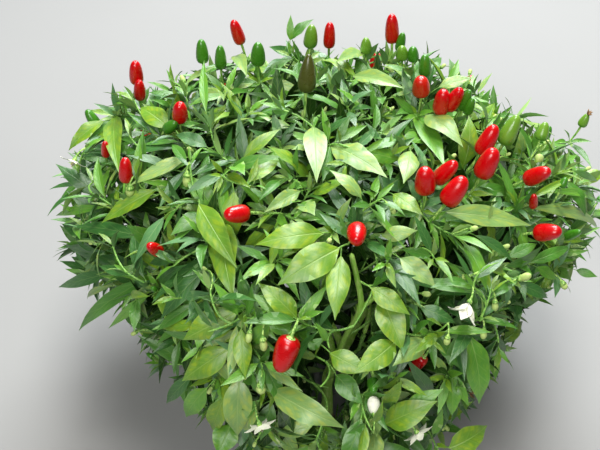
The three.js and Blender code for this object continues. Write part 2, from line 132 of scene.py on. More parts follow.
# Pods and flowers that stand out in the view: picture places of root and tip, width in picture points, kind,
# length in millimetres, and how far out on the crown the root is.
SHOWN_PODS = (
    (241, 43, 233, 21, 12.5, "ripe", 21, 1.04), (329, 47, 330, 23, 12, "ripe", 21, 1.01),
    (392, 42, 392, 15, 14, "ripe", 24, 1.04), (421, 94, 421, 77, 18, "turning", 17, 0.98),
    (440, 112, 444, 90, 17, "ripe", 20, 0.97), (448, 109, 461, 88, 15, "ripe", 21, 0.99),
    (480, 153, 496, 126, 18, "ripe", 22, 0.97), (481, 176, 495, 149, 21, "ripe", 22, 0.99),
    (425, 192, 425, 167, 21, "ripe", 20, 0.99), (436, 181, 456, 162, 17, "ripe", 21, 0.97),
    (446, 203, 465, 178, 22, "ripe", 21, 1.0), (526, 180, 550, 170, 17, "ripe", 21, 0.98),
    (536, 233, 560, 232, 18, "ripe", 19, 0.98), (357, 228, 356, 242, 20, "ripe", 17, 0.99),
    (247, 213, 225, 215, 18.5, "ripe", 17, 0.98), (180, 120, 180, 104, 16, "ripe", 18, 0.97),
    (126, 181, 125, 159, 14, "ripe", 19, 0.98), (137, 83, 135, 62, 14, "ripe", 20, 1.02),
    (140, 99, 139, 80, 12, "ripe", 18, 0.96), (160, 252, 148, 245, 13, "ripe", 18, 0.93),
    (291, 338, 279, 371, 25, "hanging", 23, 0.97), (424, 357, 411, 371, 13, "hanging", 17, 0.88),
    (106, 156, 105, 142, 9, "ripe", 16, 0.94), (533, 207, 534, 194, 9, "ripe", 16, 0.94),
    (203, 62, 201, 40, 13, "green", 19, 1.02), (221, 68, 220, 46, 12, "green", 19, 1.0),
    (258, 64, 258, 43, 15, "green", 19, 1.0), (306, 91, 309, 55, 19, "olive", 27, 1.02),
    (310, 46, 312, 26, 14.5, "young", 19, 1.02), (366, 52, 366, 39, 12, "young", 14, 1.0),
    (399, 50, 403, 33, 10, "green", 17, 1.01), (402, 58, 402, 46, 13, "young", 13, 1.0),
    (413, 60, 413, 47, 12, "green", 13, 1.0), (425, 75, 425, 55, 13, "green", 17, 1.0),
    (461, 109, 470, 90, 11, "green", 18, 0.98), (467, 113, 473, 99, 10, "green", 14, 0.98),
    (503, 144, 518, 115, 18, "young", 22, 0.98), (540, 140, 546, 122, 13, "young", 13, 0.98),
    (565, 237, 581, 231, 10, "green", 18, 0.97), (581, 126, 588, 114, 10, "wilted", 11, 0.99),
    (373, 380, 373, 392, 12, "green", 13, 0.9), (166, 130, 176, 122, 12, "green", 14, 0.95),
)
SHOWN_FLOWERS = (
    (470, 301, 462, 318, 20, "nodding", 10, 1.0), (259, 423, 264, 436, 20, "flower", 9, 1.0),
    (416, 431, 424, 442, 20, "flower", 9, 1.0), (75, 159, 70, 171, 18, "flower", 9, 1.0),
    (374, 414, 373, 396, 13, "opening", 10.5, 1.0), (538, 163, 540, 155, 9, "bud", 8, 0.98),
    (495, 300, 495, 311, 7, "bud", 8, 0.98), (484, 329, 483, 339, 7, "bud", 7, 0.98),
    (448, 336, 446, 345, 7, "bud", 6, 0.98), (130, 186, 130, 196, 9, "bud", 8, 0.97),
    (187, 173, 187, 187, 9, "bud", 10, 0.98), (263, 338, 264, 351, 8, "bud", 9, 0.98),
    (261, 383, 261, 394, 10, "bud", 7, 0.98),
    (250, 331, 248, 343, 7, "bud", 7, 0.97), (391, 208, 395, 214, 5, "bud", 5, 0.98),
    (469, 276, 457, 280, 8, "bud", 9, 0.98), (519, 279, 531, 275, 8, "bud", 9, 0.99),
    (562, 282, 566, 289, 7, "bud", 6, 0.99),
)
# A bough that shows through the gap in the front, and its fork: where on its parent it starts, the radii of
# its ends, and picture places with their distances from the eye in millimetres.
SHOWN_BOUGHS = (
    (0.5, 2.8, 1.7, ((333, 370, 700), (345, 338, 655), (361, 304, 610), (357, 278, 597), (351, 253, 588))),
    (0.75, 1.6, 1.1, ((371, 300, 606), (377, 296, 596), (374, 290, 578))),
)
# Pods round the back: bearing and rise on the crown, share of the way out, lean from upright, kind.
BACK_PODS = (
    (128, -4, 0.95, 60, "ripe"), (60, 24, 0.96, 30, "ripe"), (110, 18, 0.96, 35, "ripe"),
    (80, 30, 0.96, 22, "ripe"), (150, 28, 0.97, 32, "green"), (40, 12, 0.97, 40, "green"),
    (112, 2, 0.96, 44, "green"), (96, 6, 0.96, 50, "green"), (130, 8, 0.96, 50, "ripe"),
    (25, 2, 0.96, 55, "ripe"),
)
POD_SLOTS = {"ripe": 0, "hanging": 0, "turning": 1, "green": 0, "olive": 1, "young": 2, "small": 0,
             "wilted": 2}
BACK_POD_LENGTH = 20.0
BACK_POD_RADII = {"ripe": 5.6, "green": 4.8}
STALKS = {"ripe": 19.0, "turning": 19.0, "hanging": 12.0, "green": 17.0, "young": 15.0, "olive": 30.0,
          "wilted": 14.0, "flower": 11.0, "nodding": 9.0, "bud": 8.0, "opening": 12.0}

# Leaves that stand out in the view: picture places of root and tip, width in picture points, tint, reach of
# the root and of the tip.
# The pale tint here is partly the real paleness of old leaves and partly painted light: a whitish sheen, and
# brightness for leaves that stand in shadow.
SHOWN_LEAVES = (
    (104, 121, 69, 150, 15, "lime", 0.9, 1.0),
    (116, 116, 116, 173, 18, "lime", 0.92, 0.98),
    (187, 157, 132, 186, 14, "pale", 0.92, 0.97),
    (156, 190, 103, 222, 18, "lime", 0.9, 0.98),
    (143, 237, 76, 222, 15, "deep", 0.88, 1.0),
    (164, 217, 137, 264, 14, "bluish", 0.95, 1.0),
    (100, 195, 56, 166, 16, "deep", 0.88, 1.0),
    (152, 271, 64, 249, 14, "deep", 0.86, 1.0),
    (111, 273, 60, 289, 14, "deep", 0.93, 1.02),
    (104, 207, 57, 217, 9, "fresh", 0.93, 1.02),
    (112, 286, 88, 298, 7, "pale", 0.95, 1.0),
    (148, 296, 110, 328, 10, "fresh", 0.9, 1.0),
    (137, 299, 134, 331, 11, "mid", 0.92, 1.0),
    (131, 293, 149, 298, 8, "lime", 0.93, 0.96),
    (205, 270, 160, 317, 17, "deep", 0.88, 0.96),
    (196, 304, 157, 331, 13, "mid", 0.86, 0.95),
    (152, 276, 78, 324, 15, "mid", 0.84, 1.0),
    (199, 204, 236, 266, 24, "lime", 0.95, 0.97),
    (222, 222, 236, 301, 28, "lime", 0.88, 0.95),
    (300, 191, 264, 211, 14, "pale", 0.93, 0.97),
    (279, 181, 259, 201, 10, "mid", 0.93, 0.97),
    (244, 157, 281, 131, 13, "lime", 0.92, 0.97),
    (207, 147, 176, 134, 13, "bluish", 0.93, 0.97),
    (339, 248, 277, 283, 32, "lime", 0.95, 0.98),
    (322, 233, 254, 243, 26, "lime", 0.92, 0.96),
    (341, 256, 335, 319, 23, "lime", 0.93, 0.99),
    (297, 318, 258, 281, 21, "lime", 0.9, 0.95),
    (237, 312, 184, 339, 30, "lime", 0.9, 0.98),
    (230, 348, 182, 379, 26, "lime", 0.9, 1.0),
    (241, 329, 244, 377, 18, "lime", 0.96, 1.0),
    (240, 376, 238, 436, 28, "pale", 0.93, 1.0),
    (253, 342, 272, 323, 17, "fresh", 0.9, 0.95),
    (371, 288, 409, 315, 20, "lime", 0.93, 0.98),
    (381, 298, 402, 351, 27, "lime", 0.9, 0.96),
    (396, 341, 356, 374, 25, "lime", 0.93, 0.98),
    (330, 353, 366, 374, 22, "lime", 0.88, 0.94),
    (384, 403, 401, 381, 15, "lime", 0.92, 0.98),
    (336, 375, 363, 404, 20, "mid", 0.86, 0.94),
    (272, 390, 347, 426, 27, "pale", 0.92, 1.0),
    (439, 87, 472, 78, 13, "pale", 0.93, 1.0),
    (426, 115, 463, 148, 23, "pale", 0.93, 0.99),
    (414, 113, 447, 165, 19, "fresh", 0.88, 0.95),
    (411, 151, 404, 183, 20, "pale", 0.93, 0.98),
    (393, 194, 422, 215, 18, "lime", 0.92, 0.97),
    (446, 212, 528, 221, 21, "pale", 0.93, 0.99),
    (530, 208, 596, 226, 14, "pale", 0.93, 1.0),
    (382, 236, 417, 231, 15, "pale", 0.92, 0.97),
    (353, 76, 403, 88, 17, "pale", 0.94, 0.99),
    (363, 52, 337, 62, 14, "pale", 0.95, 1.0),
    (313, 127, 321, 181, 22, "pale", 0.95, 0.99),
    (331, 146, 386, 177, 26, "pale", 0.93, 0.98),
    (170, 128, 140, 108, 20, "lime", 0.92, 0.98),
    (235, 56, 250, 76, 13, "pale", 0.95, 0.99),
    (469, 335, 481, 402, 26, "fresh", 0.9, 1.0),
    (464, 244, 488, 292, 17, "fresh", 0.93, 0.99),
    (385, 424, 436, 400, 26, "lime", 0.93, 1.0),
    (449, 448, 487, 424, 26, "lime", 0.93, 1.0),
    (400, 258, 436, 286, 20, "pale", 0.93, 0.98),
    (398, 160, 350, 152, 16, "fresh", 0.9, 0.96),
    (432, 398, 404, 362, 14, "deep", 0.88, 0.95),
    (206, 318, 196, 350, 14, "fresh", 0.9, 0.97),
    (290, 40, 291, 15, 7, "fresh", 1.02, 1.08),
    (290, 40, 314, 20, 10, "mid", 1.02, 1.06),
    (206, 112, 204, 62, 9, "fresh", 0.95, 1.05),
    (160, 284, 186, 262, 12, "deep", 0.86, 0.92),
    (544, 192, 597, 202, 8, "fresh", 0.95, 1.0),
    (565, 181, 586, 216, 14, "mid", 0.96, 1.0),
    (573, 171, 597, 183, 8, "mid", 0.98, 1.0),
    (528, 200, 572, 176, 7, "lime", 0.96, 1.02),
    (529, 263, 571, 248, 12, "mid", 0.93, 1.0),
    (508, 257, 537, 243, 12, "mid", 0.93, 0.98),
    (519, 284, 548, 298, 12, "deep", 0.9, 0.98),
    (537, 267, 556, 280, 11, "fresh", 0.93, 0.98),
    (557, 273, 555, 298, 8, "bluish", 0.95, 0.98),
    (576, 270, 597, 277, 9, "mid", 0.97, 1.0),
    (420, 307, 457, 322, 14, "deep", 0.9, 0.96),
    (207, 388, 186, 416, 20, "fresh", 0.9, 0.98),
    (224, 398, 214, 430, 20, "lime", 0.88, 0.96),
    (231, 424, 219, 454, 25, "fresh", 0.9, 0.98),
    (192, 376, 166, 401, 13, "deep", 0.88, 0.98),
    (272, 402, 262, 440, 17, "mid", 0.86, 0.94),
)
# How far round a shown piece the view stays open: a share of a leaf's width, and radii in millimetres.
SHOWN_MARGIN = 0.3
HALF_HIDDEN_RADIUS = 4.3
STEM_WINDOW = 12.0
BOUGH_WINDOWS = (9.0, 6.0)
STALK_WINDOW = 3.0
POD_WINDOW_MARGIN = 1.0

# Each mass has this many shoots. Their tips are picked from a pool of points in the mass's space.
BUDS = 38
BUD_REACH = (0.46, 0.97)
BUD_ROOM = 170.0
BUD_POOL = 3000
BUD_MARGIN = 5.0
SHOOT_JOINTS = (0.4, 0.7, 0.95)
SHOOT_POINTS = 9
LEAST_APART = 6
# Shares of the way out on the crown: how far leaves reach, how uneven that is, and inside which leaves get
# the dark shaded tint, which is painted shade.
LEAF_REACH = 1.04
TIP_LEAF_REACH = LEAF_REACH + 0.02
UNEVENNESS = 0.05
PAINTED_SHADE_REACH = 0.78
# How far leaves may stand over into the next mass's space, in millimetres below nothing.
SIDE_LEAF_GAP = -7
TIP_LEAF_GAP = -14
# Leaves along a shoot: the room that each has, the ways that are tried for it, and its distance from others.
SIDE_LEAF_ROOM = 11.5
SIDE_LEAF_WAYS = 9
CLEAR_AT = 9.0
LEAST_CLEAR = 1.9
AMPLE_CLEAR = 5
# Where the crown is less full: bearing, rise and half width in degrees, and depth as a share of its reach.
HOLLOWS = ((213, -3, 24, 0.17), (331, -6, 23, 0.2), (35, 47, 18, 0.09))

# A blade's outline: shares of its length and of its half width.
OUTLINE_AT = (0, 0.04, 0.1, 0.18, 0.28, 0.39, 0.5, 0.61, 0.72, 0.82, 0.9, 0.96, 1)
OUTLINE = (0.05, 0.14, 0.42, 0.73, 0.94, 1.0, 0.95, 0.82, 0.61, 0.37, 0.18, 0.07, 0.012)
ATLAS_TILES = 4
TILE_MARGIN = 0.06

# The shaded tint is painted shade: a dark colour for leaves deep in the crown, where shadow falls.
TINTS = ("lime", "fresh", "mid", "deep", "bluish", "pale", "underside", "pale_underside", "shaded")
# Each tint has a tile of the leaf atlas for each of two variants, and the lower faces have one for both.
TILES = ((0, 1, 2, 3, 4, 5, 6, 7, 14), (8, 9, 10, 11, 12, 13, 6, 7, 15))


def unit(vectors):
    return vectors / np.linalg.norm(vectors, axis=-1, keepdims=True)


def seeded(number):
    return np.random.default_rng(SEED + number)


def jitter(rng, shape, size):
    """Random offsets, evenly spread over a size and centred on nothing."""
    return (rng.random(shape) - 0.5) * size


def pick(names, shares, rng):
    return names[int(rng.choice(len(names), p=shares))]


def bend_through(start, middle, end, count):
    """A curve from start to end that leaves and arrives in line with the middle."""
    t = np.linspace(0, 1, count)[:, None]
    return (1 - t) ** 2 * start + 2 * t * (1 - t) * middle + t * t * end


def direction(bearing, rise):
    turn = math.radians(bearing)
    tilt = math.radians(rise)
    return np.array([math.cos(tilt) * math.cos(turn), math.cos(tilt) * math.sin(turn), math.sin(tilt)])


def crown_sizes(ways):
    """Half sizes of the crown on the side of its middle that each way from there points to."""
    sizes = np.empty(ways.shape)
    sizes[..., 0] = CROWN_HALF_WIDTH
    sizes[..., 1] = np.where(ways[..., 1] < 0, CROWN_FRONT, CROWN_BACK)
    sizes[..., 2] = np.where(ways[..., 2] < 0, CROWN_DROP, CROWN_RISE)
    return sizes


def reach_of(ways):
    """The crown is squarer than a ball above its middle, and slopes in below it."""
    power = np.where(ways[..., 2] < 0, LOWER_POWER, UPPER_POWER)
    level = np.hypot(ways[..., 0], ways[..., 1])
    return (level**power + np.abs(ways[..., 2]) ** power) ** (1 / power)


def shares_of(points):
    """Ways to points from the crown's middle, in shares of the crown's half sizes."""
    ways = points - CROWN_MIDDLE
    ways = ways / crown_sizes(ways)
    ways[..., 0] /= 1 + BACK_SPREAD * ways[..., 1]
    return ways


def on_crown(bearing, rise, share):
    way = direction(bearing, rise)
    way = way * share / reach_of(way)
    way[0] *= 1 + BACK_SPREAD * way[1]
    return way * crown_sizes(way) + CROWN_MIDDLE


def share_out(points):
    return reach_of(shares_of(points))


def fullness(points):
    """How much further out the crown reaches there: uneven in lumps, and less in its hollows."""
    ways = shares_of(points)
    x, y, z = ways[..., 0], ways[..., 1], ways[..., 2]
    lumps = np.sin(7.3 * x + 2.1 * z + 0.6) * np.sin(6.1 * y - 1.7 * x + 1.9) * 0.6
    lumps += 0.4 * np.sin(11 * z + 5 * y + 4 * x)
    full = UNEVENNESS * lumps
    ways = unit(ways)
    for bearing, rise, width, depth in HOLLOWS:
        away = np.degrees(np.arccos(np.clip(ways @ direction(bearing, rise), -1, 1)))
        full = full - depth * np.exp(-((away / width) ** 4))
    return full


def outward(points):
    return unit(shares_of(points))


def evenly(points, count):
    """The same line with its points an even distance apart."""
    steps = np.linalg.norm(np.diff(points, axis=0), axis=1)
    along = np.concatenate([[0], np.cumsum(steps)])
    wanted = np.linspace(0, along[-1], count)
    return np.stack([np.interp(wanted, along, points[:, k]) for k in range(3)], axis=1)


class Limb:
    """A line through the plant, with its radius at each share of the way."""

    def __init__(self, name, points, radius_at, count=33):
        self.name = name
        self.points = evenly(points, count)
        self.shares = np.linspace(0, 1, count)
        self.radii = radius_at(self.shares)
        self.length = np.linalg.norm(np.diff(self.points, axis=0), axis=1).sum()
        self.children = []

    def at(self, share):
        return np.array([np.interp(share, self.shares, self.points[:, k]) for k in range(3)])

    def way(self, share):
        last = len(self.points) - 1
        i = min(int(share * last), last - 1)
        return unit(self.points[i + 1] - self.points[i])

    def radius(self, share):
        return float(np.interp(share, self.shares, self.radii))


def taper(start, end):
    return lambda shares: start + (end - start) * shares


def centripetal(points, steps=24):
    """The smooth line through points that the frame's main stem follows."""
    ends = [2 * points[0] - points[1], *points, 2 * points[-1] - points[-2]]
    line = []
    for p0, p1, p2, p3 in zip(ends, ends[1:], ends[2:], ends[3:]):
        d0, d1, d2 = (math.sqrt(np.linalg.norm(b - a)) for a, b in ((p0, p1), (p1, p2), (p2, p3)))
        t1 = ((p1 - p0) / d0 - (p2 - p0) / (d0 + d1) + (p2 - p1) / d1) * d1
        t2 = ((p2 - p1) / d1 - (p3 - p1) / (d1 + d2) + (p3 - p2) / d2) * d1
        for t in np.arange(steps) / steps:
            square = t * t
            bent = (-3 * p1 + 3 * p2 - 2 * t1 - t2) * square
            line.append(p1 + t1 * t + bent + (2 * p1 - 2 * p2 + t1 + t2) * square * t)
    return np.array([*line, points[-1]])


def arc(parent, along, end, steps=24):
    """A line from a share of the way along its parent, leaving it at a slant and bending round to its end."""
    start = parent.at(along)
    length = np.linalg.norm(end - start)
    slant = unit(unit(end - start) + parent.way(along))
    return bend_through(start, start + slant * 0.45 * length, end, steps + 1)


def grow_limbs():
    """The main stem, its boughs, and a branch to each mass, as the frame has them."""
    line = centripetal(STEM_LINE)
    stem = Limb("main_stem", line, taper(STEM_FOOT_RADIUS, STEM_TOP_RADIUS), 60)
    stem.radii = stem.radii + ROOT_FLARE * np.exp(-np.maximum(stem.points[:, 2], 0) / ROOT_FLARE_HEIGHT)
    limbs = [stem]
    boughs = []
    for name, along, bearing in BOUGHS:
        end = on_crown(bearing, BOUGH_RISE, BOUGH_REACH)
        bough = Limb(name, arc(stem, along, end), taper(BOUGH_RADIUS, BRANCH_RADIUS))
        stem.children.append(along)
        boughs.append(bough)
    limbs += boughs
    masses = []
    taken = {}
    for ring, count, first, rise in RINGS:
        for i in range(count):
            bearing = first + 360 / count * i
            end = on_crown(bearing, rise, BRANCH_ENDS_AT)
            bough = min(boughs, key=lambda b: np.linalg.norm(b.points[-1] - end))
            along = 1 - BRANCH_STEP * taken.get(bough.name, 0)
            taken[bough.name] = taken.get(bough.name, 0) + 1
            bough.children.append(along)
            name = f"{ring}_{i + 1}"
            branch = Limb(f"branch_{name}", arc(bough, along, end), taper(BRANCH_RADIUS, TWIG_RADIUS))
            limbs.append(branch)
            seed = on_crown(bearing, rise, MASS_AT)
            masses.append({"name": name, "ring": ring, "seed": seed, "branch": branch})
    return limbs, masses


def inside_space(points, mass, seeds, reach, gap):
    """For each point, whether it is nearer this mass's seed than any other by a gap, and inside the crown."""
    own = np.linalg.norm(points - mass["seed"], axis=-1)
    inside = (share_out(points) < reach + fullness(points)) & (points[..., 2] > LOWEST_LEAF)
    for seed in seeds:
        apart = np.linalg.norm(seed - mass["seed"])
        if apart > 1:
            nearer = np.sum((points - seed) ** 2, axis=-1) - own**2
            inside &= nearer > 2 * gap * apart
    return inside


def seen(points):
    """Where points stand in the view, and how far away they are."""
    offsets = points - EYE
    depth = -offsets @ EYE_BACK
    flat = np.stack([offsets @ EYE_RIGHT, offsets @ EYE_UP], axis=-1) / depth[..., None]
    return flat, depth


class Windows:
    """Places that stay open to the view, so that a leaf that would hide them isn't grown."""

    def __init__(self):
        self.points = []
        self.radii = []

    def add(self, line, radius):
        self.points.extend(line)
        self.radii.extend([radius] * len(line))

    def close(self):
        self.flat, self.depth = seen(np.array(self.points))
        self.radii = np.array(self.radii)

    def hidden(self, samples):
        """For each leaf of a stack of samples, whether it hides an open place."""
        flat, depth = seen(samples)
        apart = np.linalg.norm(flat[..., None, :] - self.flat, axis=-1) * depth[..., None]
        before = depth[..., None] < self.depth + 2
        return ((apart < self.radii) & before).any(axis=(-1, -2))


class Standing:
    """Points on what has grown already, kept in cells so that near ones are found fast."""

    CELL = 24.0
    MARGIN = 4

    def __init__(self):
        self.cells = {}

    def add(self, points):
        for point in points.reshape(-1, 3):
            key = tuple((point // self.CELL).astype(int))
            self.cells.setdefault(key, []).append(point)

    def near(self, points):
        low = ((points.min(axis=0) - self.MARGIN) // self.CELL).astype(int)
        high = ((points.max(axis=0) + self.MARGIN) // self.CELL).astype(int)
        found = []
        for x in range(low[0], high[0] + 1):
            for y in range(low[1], high[1] + 1):
                for z in range(low[2], high[2] + 1):
                    found.extend(self.cells.get((x, y, z), ()))
        return np.array(found).reshape(-1, 3)


def piece_way(base, lean):
    """The way a pod or flower points: leaning out from upright."""
    out = unit(outward(base) * (1, 1, 0))
    angle = math.radians(lean)
    return unit(UP * math.cos(angle) + out * math.sin(angle))


def ray_to(x, y):
    """The way from the eye to a place in the picture, one millimetre deep."""
    return -EYE_BACK + EYE_RIGHT * (x - PICTURE[0] / 2) / FOCAL - EYE_UP * (y - PICTURE[1] / 2) / FOCAL


def point_size(place):
    """How wide one point of the picture is at a place, in millimetres."""
    return seen(place[None])[1][0] / FOCAL


def shown_boughs(stem):
    """The bough that shows through the front goes off from the main stem, and its fork from its middle."""
    boughs = []
    for along, start, end, places in SHOWN_BOUGHS:
        parent = boughs[0] if boughs else stem
        line = centripetal([parent.at(along), *(EYE + ray_to(x, y) * depth for x, y, depth in places)])
        boughs.append(Limb("shown_bough", line, taper(start, end)))
        parent.children.append(along)
    return boughs


def in_view(x, y, share):
    """The place on the crown, at a share of the way out, that is seen at a place in the picture."""
    points = EYE + ray_to(x, y) * RAY_DEPTHS[:, None]
    out = share_out(points)
    met = np.flatnonzero(out < share)
    return points[met[0]] if len(met) else points[int(np.argmin(out))]


def shown_leaves(rng):
    """The leaves that are placed one by one, each with the node that its stalk grows from."""
    rows = []
    for x0, y0, x1, y1, width, tint, root_share, tip_share in SHOWN_LEAVES:
        root = in_view(x0, y0, root_share)
        tip = in_view(x1, y1, tip_share)
        along = unit(tip - root)
        scale = point_size(root)
        light = unit(EYE_BACK * 0.75 + outward(root) * 0.3 + UP * 0.35 + jitter(rng, 3, 0.3))
        length = np.linalg.norm(tip - root) * 1.04
        kind = "long" if width * 3.6 < length / scale else "broad"
        width = np.array([width * scale * 1.08])
        drawn = draw_leaves(kind, root[None], along[None], light[None], np.array([length]), width, rng)
        drawn["sway"] *= 0.6
        drawn["lift"] = drawn["bend"] * 0.5
        node = root - along * 7 - outward(root) * 5
        samples = blade_points(drawn, SAMPLE_ROWS, SAMPLE_COLUMNS)[0]
        rows.append({"leaf": one_leaf(drawn, 0, kind, tint, node), "node": node, "samples": samples})
    return rows


def tip_in_view(x, y, base, length, hangs):
    """The end of a piece of this length that is seen at a place in the picture: up from its base, or down."""
    ray = ray_to(x, y)
    far = ray @ (base - EYE) / (ray @ ray)
    gap = np.linalg.norm(EYE + ray * far - base)
    half = math.sqrt(max(length**2 - gap**2, 0.0) / (ray @ ray))
    ends = sorted((EYE + ray * (far - half), EYE + ray * (far + half)), key=lambda end: end[2])
    return ends[0] if hangs else ends[1]


def listed_piece(kind, base, way, length, radius, shown):
    back = way * 0.85 + outward(base) * 0.3
    node = base - unit(back) * STALKS[kind]
    row = {"kind": kind, "base": base, "way": way, "length": length, "radius": radius}
    return {**row, "node": node, "shown": shown}


def listed_pieces():
    """The pods and flowers that are placed one by one, with the node that each one's stalk grows from."""
    rows = []
    for x0, y0, x1, y1, width, kind, length, share in SHOWN_PODS + SHOWN_FLOWERS:
        base = in_view(x0, y0, share)
        hangs = kind in ("hanging", "flower", "nodding", "bud") and y1 > y0
        tip = tip_in_view(x1, y1, base, length, hangs)
        scale = point_size(base)
        way = unit(tip - base)
        rows.append(listed_piece(kind, base, way, np.linalg.norm(tip - base), width * scale / 2, True))
    for bearing, rise, share, lean, kind in BACK_PODS:
        base = on_crown(bearing, rise, share)
        way = piece_way(base, lean)
        rows.append(listed_piece(kind, base, way, BACK_POD_LENGTH, BACK_POD_RADII[kind], False))
    return rows


def place_buds(mass, seeds, listed, rng):
    """Where shoots end: at each listed piece's node, and spread evenly over the rest of the mass's space."""
    buds = []
    for row in listed:
        if all(np.linalg.norm(row["node"] - bud) > LEAST_APART for bud in buds):
            buds.append(row["node"])
    pool = mass["seed"] + jitter(rng, (BUD_POOL, 3), BUD_ROOM)
    pool = pool[(share_out(pool) > BUD_REACH[0]) & inside_space(pool, mass, seeds, BUD_REACH[1], BUD_MARGIN)]
    spread = np.full(len(pool), 1e9)
    for bud in buds:
        spread = np.minimum(spread, np.linalg.norm(pool - bud, axis=1))
    while len(buds) < BUDS:
        best = int(np.argmax(spread * (0.75 + 0.25 * share_out(pool)))) if buds else 0
        buds.append(pool[best])
        spread = np.minimum(spread, np.linalg.norm(pool - pool[best], axis=1))
    start = mass["branch"].points[-1]
    return sorted(buds, key=lambda bud: np.linalg.norm(bud - start))


def grow_shoots(mass, seeds, listed, rng):
    """The first shoot goes on from the branch, and each other reaches from the nearest one to a bud."""
    branch = mass["branch"]
    start = branch.points[-1]
    way = branch.way(1.0)
    line = np.array([start, start + way * FIRST_SHOOT])
    first = Limb("shoot", line, taper(TWIG_RADIUS, TWIG_RADIUS * 0.9), SHOOT_POINTS)
    shoots = [first]
    joints = [(first, share) for share in SHOOT_JOINTS]
    places = [first.at(share) for share in SHOOT_JOINTS]
    for bud in place_buds(mass, seeds, listed, rng):
        gaps = bud - np.array(places)
        far = np.linalg.norm(gaps, axis=1)
        ways = np.array([shoot.way(share) for shoot, share in joints])
        back = 1 - np.sum(gaps / far[:, None] * ways, axis=1)
        parent, share = joints[int(np.argmin(far * (1 + 0.35 * back)))]
        radius = max(parent.radius(share) * 0.8, LEAST_TWIG_RADIUS)
        tapered = taper(radius, max(radius * 0.75, 0.6))
        shoot = Limb("shoot", arc(parent, share, bud, 10), tapered, SHOOT_POINTS)
        shoots.append(shoot)
        joints += [(shoot, share) for share in SHOOT_JOINTS]
        places += [shoot.at(share) for share in SHOOT_JOINTS]
    return shoots


def tilted(axis, angle, turn):
    """Directions tilted from an axis by angles, turned round it by others, both in radians."""
    reference = UP if abs(axis[2]) < 0.9 else np.array([1.0, 0.0, 0.0])
    side = unit(np.cross(axis, reference))
    other = np.cross(axis, side)
    angle = np.asarray(angle)[..., None]
    turn = np.asarray(turn)[..., None]
    return axis * np.cos(angle) + (side * np.cos(turn) + other * np.sin(turn)) * np.sin(angle)


def blade_points(leaf, shares, across):
    """Points at shares of each leaf's length and half width. leaf holds arrays, a row for each leaf."""
    column = lambda name: np.asarray(leaf[name], float)[:, None, None]
    along = leaf["along"]
    side = unit(np.cross(leaf["light"], along))
    normal = np.cross(along, side)
    s = np.asarray(shares, float)[None, :, None]
    t = np.asarray(across, float)[None, None, :]
    bend = np.where(np.abs(column("bend")) < 1e-3, 1e-3, column("bend"))
    lift = column("lift")
    angle = lift - bend * s
    x = (np.sin(lift) - np.sin(angle)) / bend * column("length")
    z = (np.cos(angle) - np.cos(lift)) / bend * column("length")
    half = np.interp(s, OUTLINE_AT, OUTLINE) * column("width") / 2
    far = np.abs(t) * half
    y = t * half
    rise = far * (column("fold") - column("cup") * np.abs(t))
    ripple = np.sin(2 * np.pi * (column("waves") * s) + column("phase") + np.where(t > 0, 1.7, 0.0))
    rise = rise + ripple * far * np.abs(t) * column("wave")
    twist = column("twist") * s
    across_y = y * np.cos(twist) - rise * np.sin(twist) + column("sway") * column("length") * s * s
    across_z = y * np.sin(twist) + rise * np.cos(twist)
    spread = lambda vectors: vectors[:, None, None, :]
    local_x = x - np.sin(angle) * across_z
    local_z = z + np.cos(angle) * across_z
    return (
        spread(leaf["root"])
        + spread(along) * local_x[..., None]
        + spread(normal) * local_z[..., None]
        + spread(side) * across_y[..., None]
    )


SAMPLE_ROWS = (0.2, 0.4, 0.6, 0.8, 1.0)
SAMPLE_COLUMNS = (-1, 0, 1)

# What each kind of leaf is like: rows and columns of its faces, ranges of how it bends, and of its stalk's
# length in millimetres. Tiny leaves bend as small ones do.
LEAF_KINDS = {
    "broad": {"rows": 12, "columns": 4, "bend": (0.35, 1.15), "lift": (0.1, 0.45), "fold": (0.3, 0.65),
              "cup": (0.3, 0.6), "wave": (0.06, 0.2), "sway": 0.06, "twist": 0.35, "petiole": (5, 11)},
    "long": {"rows": 10, "columns": 4, "bend": (0.2, 0.85), "lift": (0.05, 0.35), "fold": (0.4, 0.8),
             "cup": (0.2, 0.5), "wave": (0.03, 0.12), "sway": 0.09, "twist": 0.3, "petiole": (4, 8)},
    "small": {"rows": 7, "columns": 2, "bend": (0.1, 0.9), "lift": (0.0, 0.3), "fold": (0.35, 0.8),
              "cup": (0.1, 0.4), "wave": (0.0, 0.08), "sway": 0.08, "twist": 0.25},
    "tiny": {"rows": 5, "columns": 2},
}


def draw_leaves(kind, root, along, light, length, width, rng):
    """A dictionary of arrays, one row for each leaf, with the ways that it bends drawn at random."""
    form = LEAF_KINDS[kind]
    drawn = {"root": root, "along": along, "light": light, "length": length, "width": width}
    ranges = {name: form[name] for name in ("bend", "lift", "fold", "cup", "wave")}
    ranges |= {"waves": (1.5, 3.0), "phase": (0, 2 * np.pi)}
    ranges |= {name: (-form[name], form[name]) for name in ("sway", "twist")}
    for name, (low, high) in ranges.items():
        drawn[name] = low + (high - low) * rng.random(len(root))
    return drawn


def one_leaf(drawn, index, kind, tint, node):
    """One row of drawn leaves, with what it is and where its stalk grows from."""
    leaf = {name: values[index] for name, values in drawn.items()}
    return {**leaf, "kind": kind, "tint": tint, "node": node}


# Where families of tints are commoner: weight, then middle and half widths on the ground in millimetres.
LIME_PLACES = ((0.6, 5, -45, 120, 95), (0.6, 110, 70, 60, 60))
DEEP_PLACES = ((0.6, -190, 20, 90, 90), (2.4, 5, 15, 85, 70))
LEAST_LIME = 0.16
LEAST_DEEP = 0.12
OTHER_FAMILIES = 0.34


def commonness(place, places, least):
    x, y = place[0], place[1]
    bumps = (w * math.exp(-(((x - a) / wide) ** 2) - ((y - b) / deep) ** 2) for w, a, b, wide, deep in places)
    return sum(bumps, least)


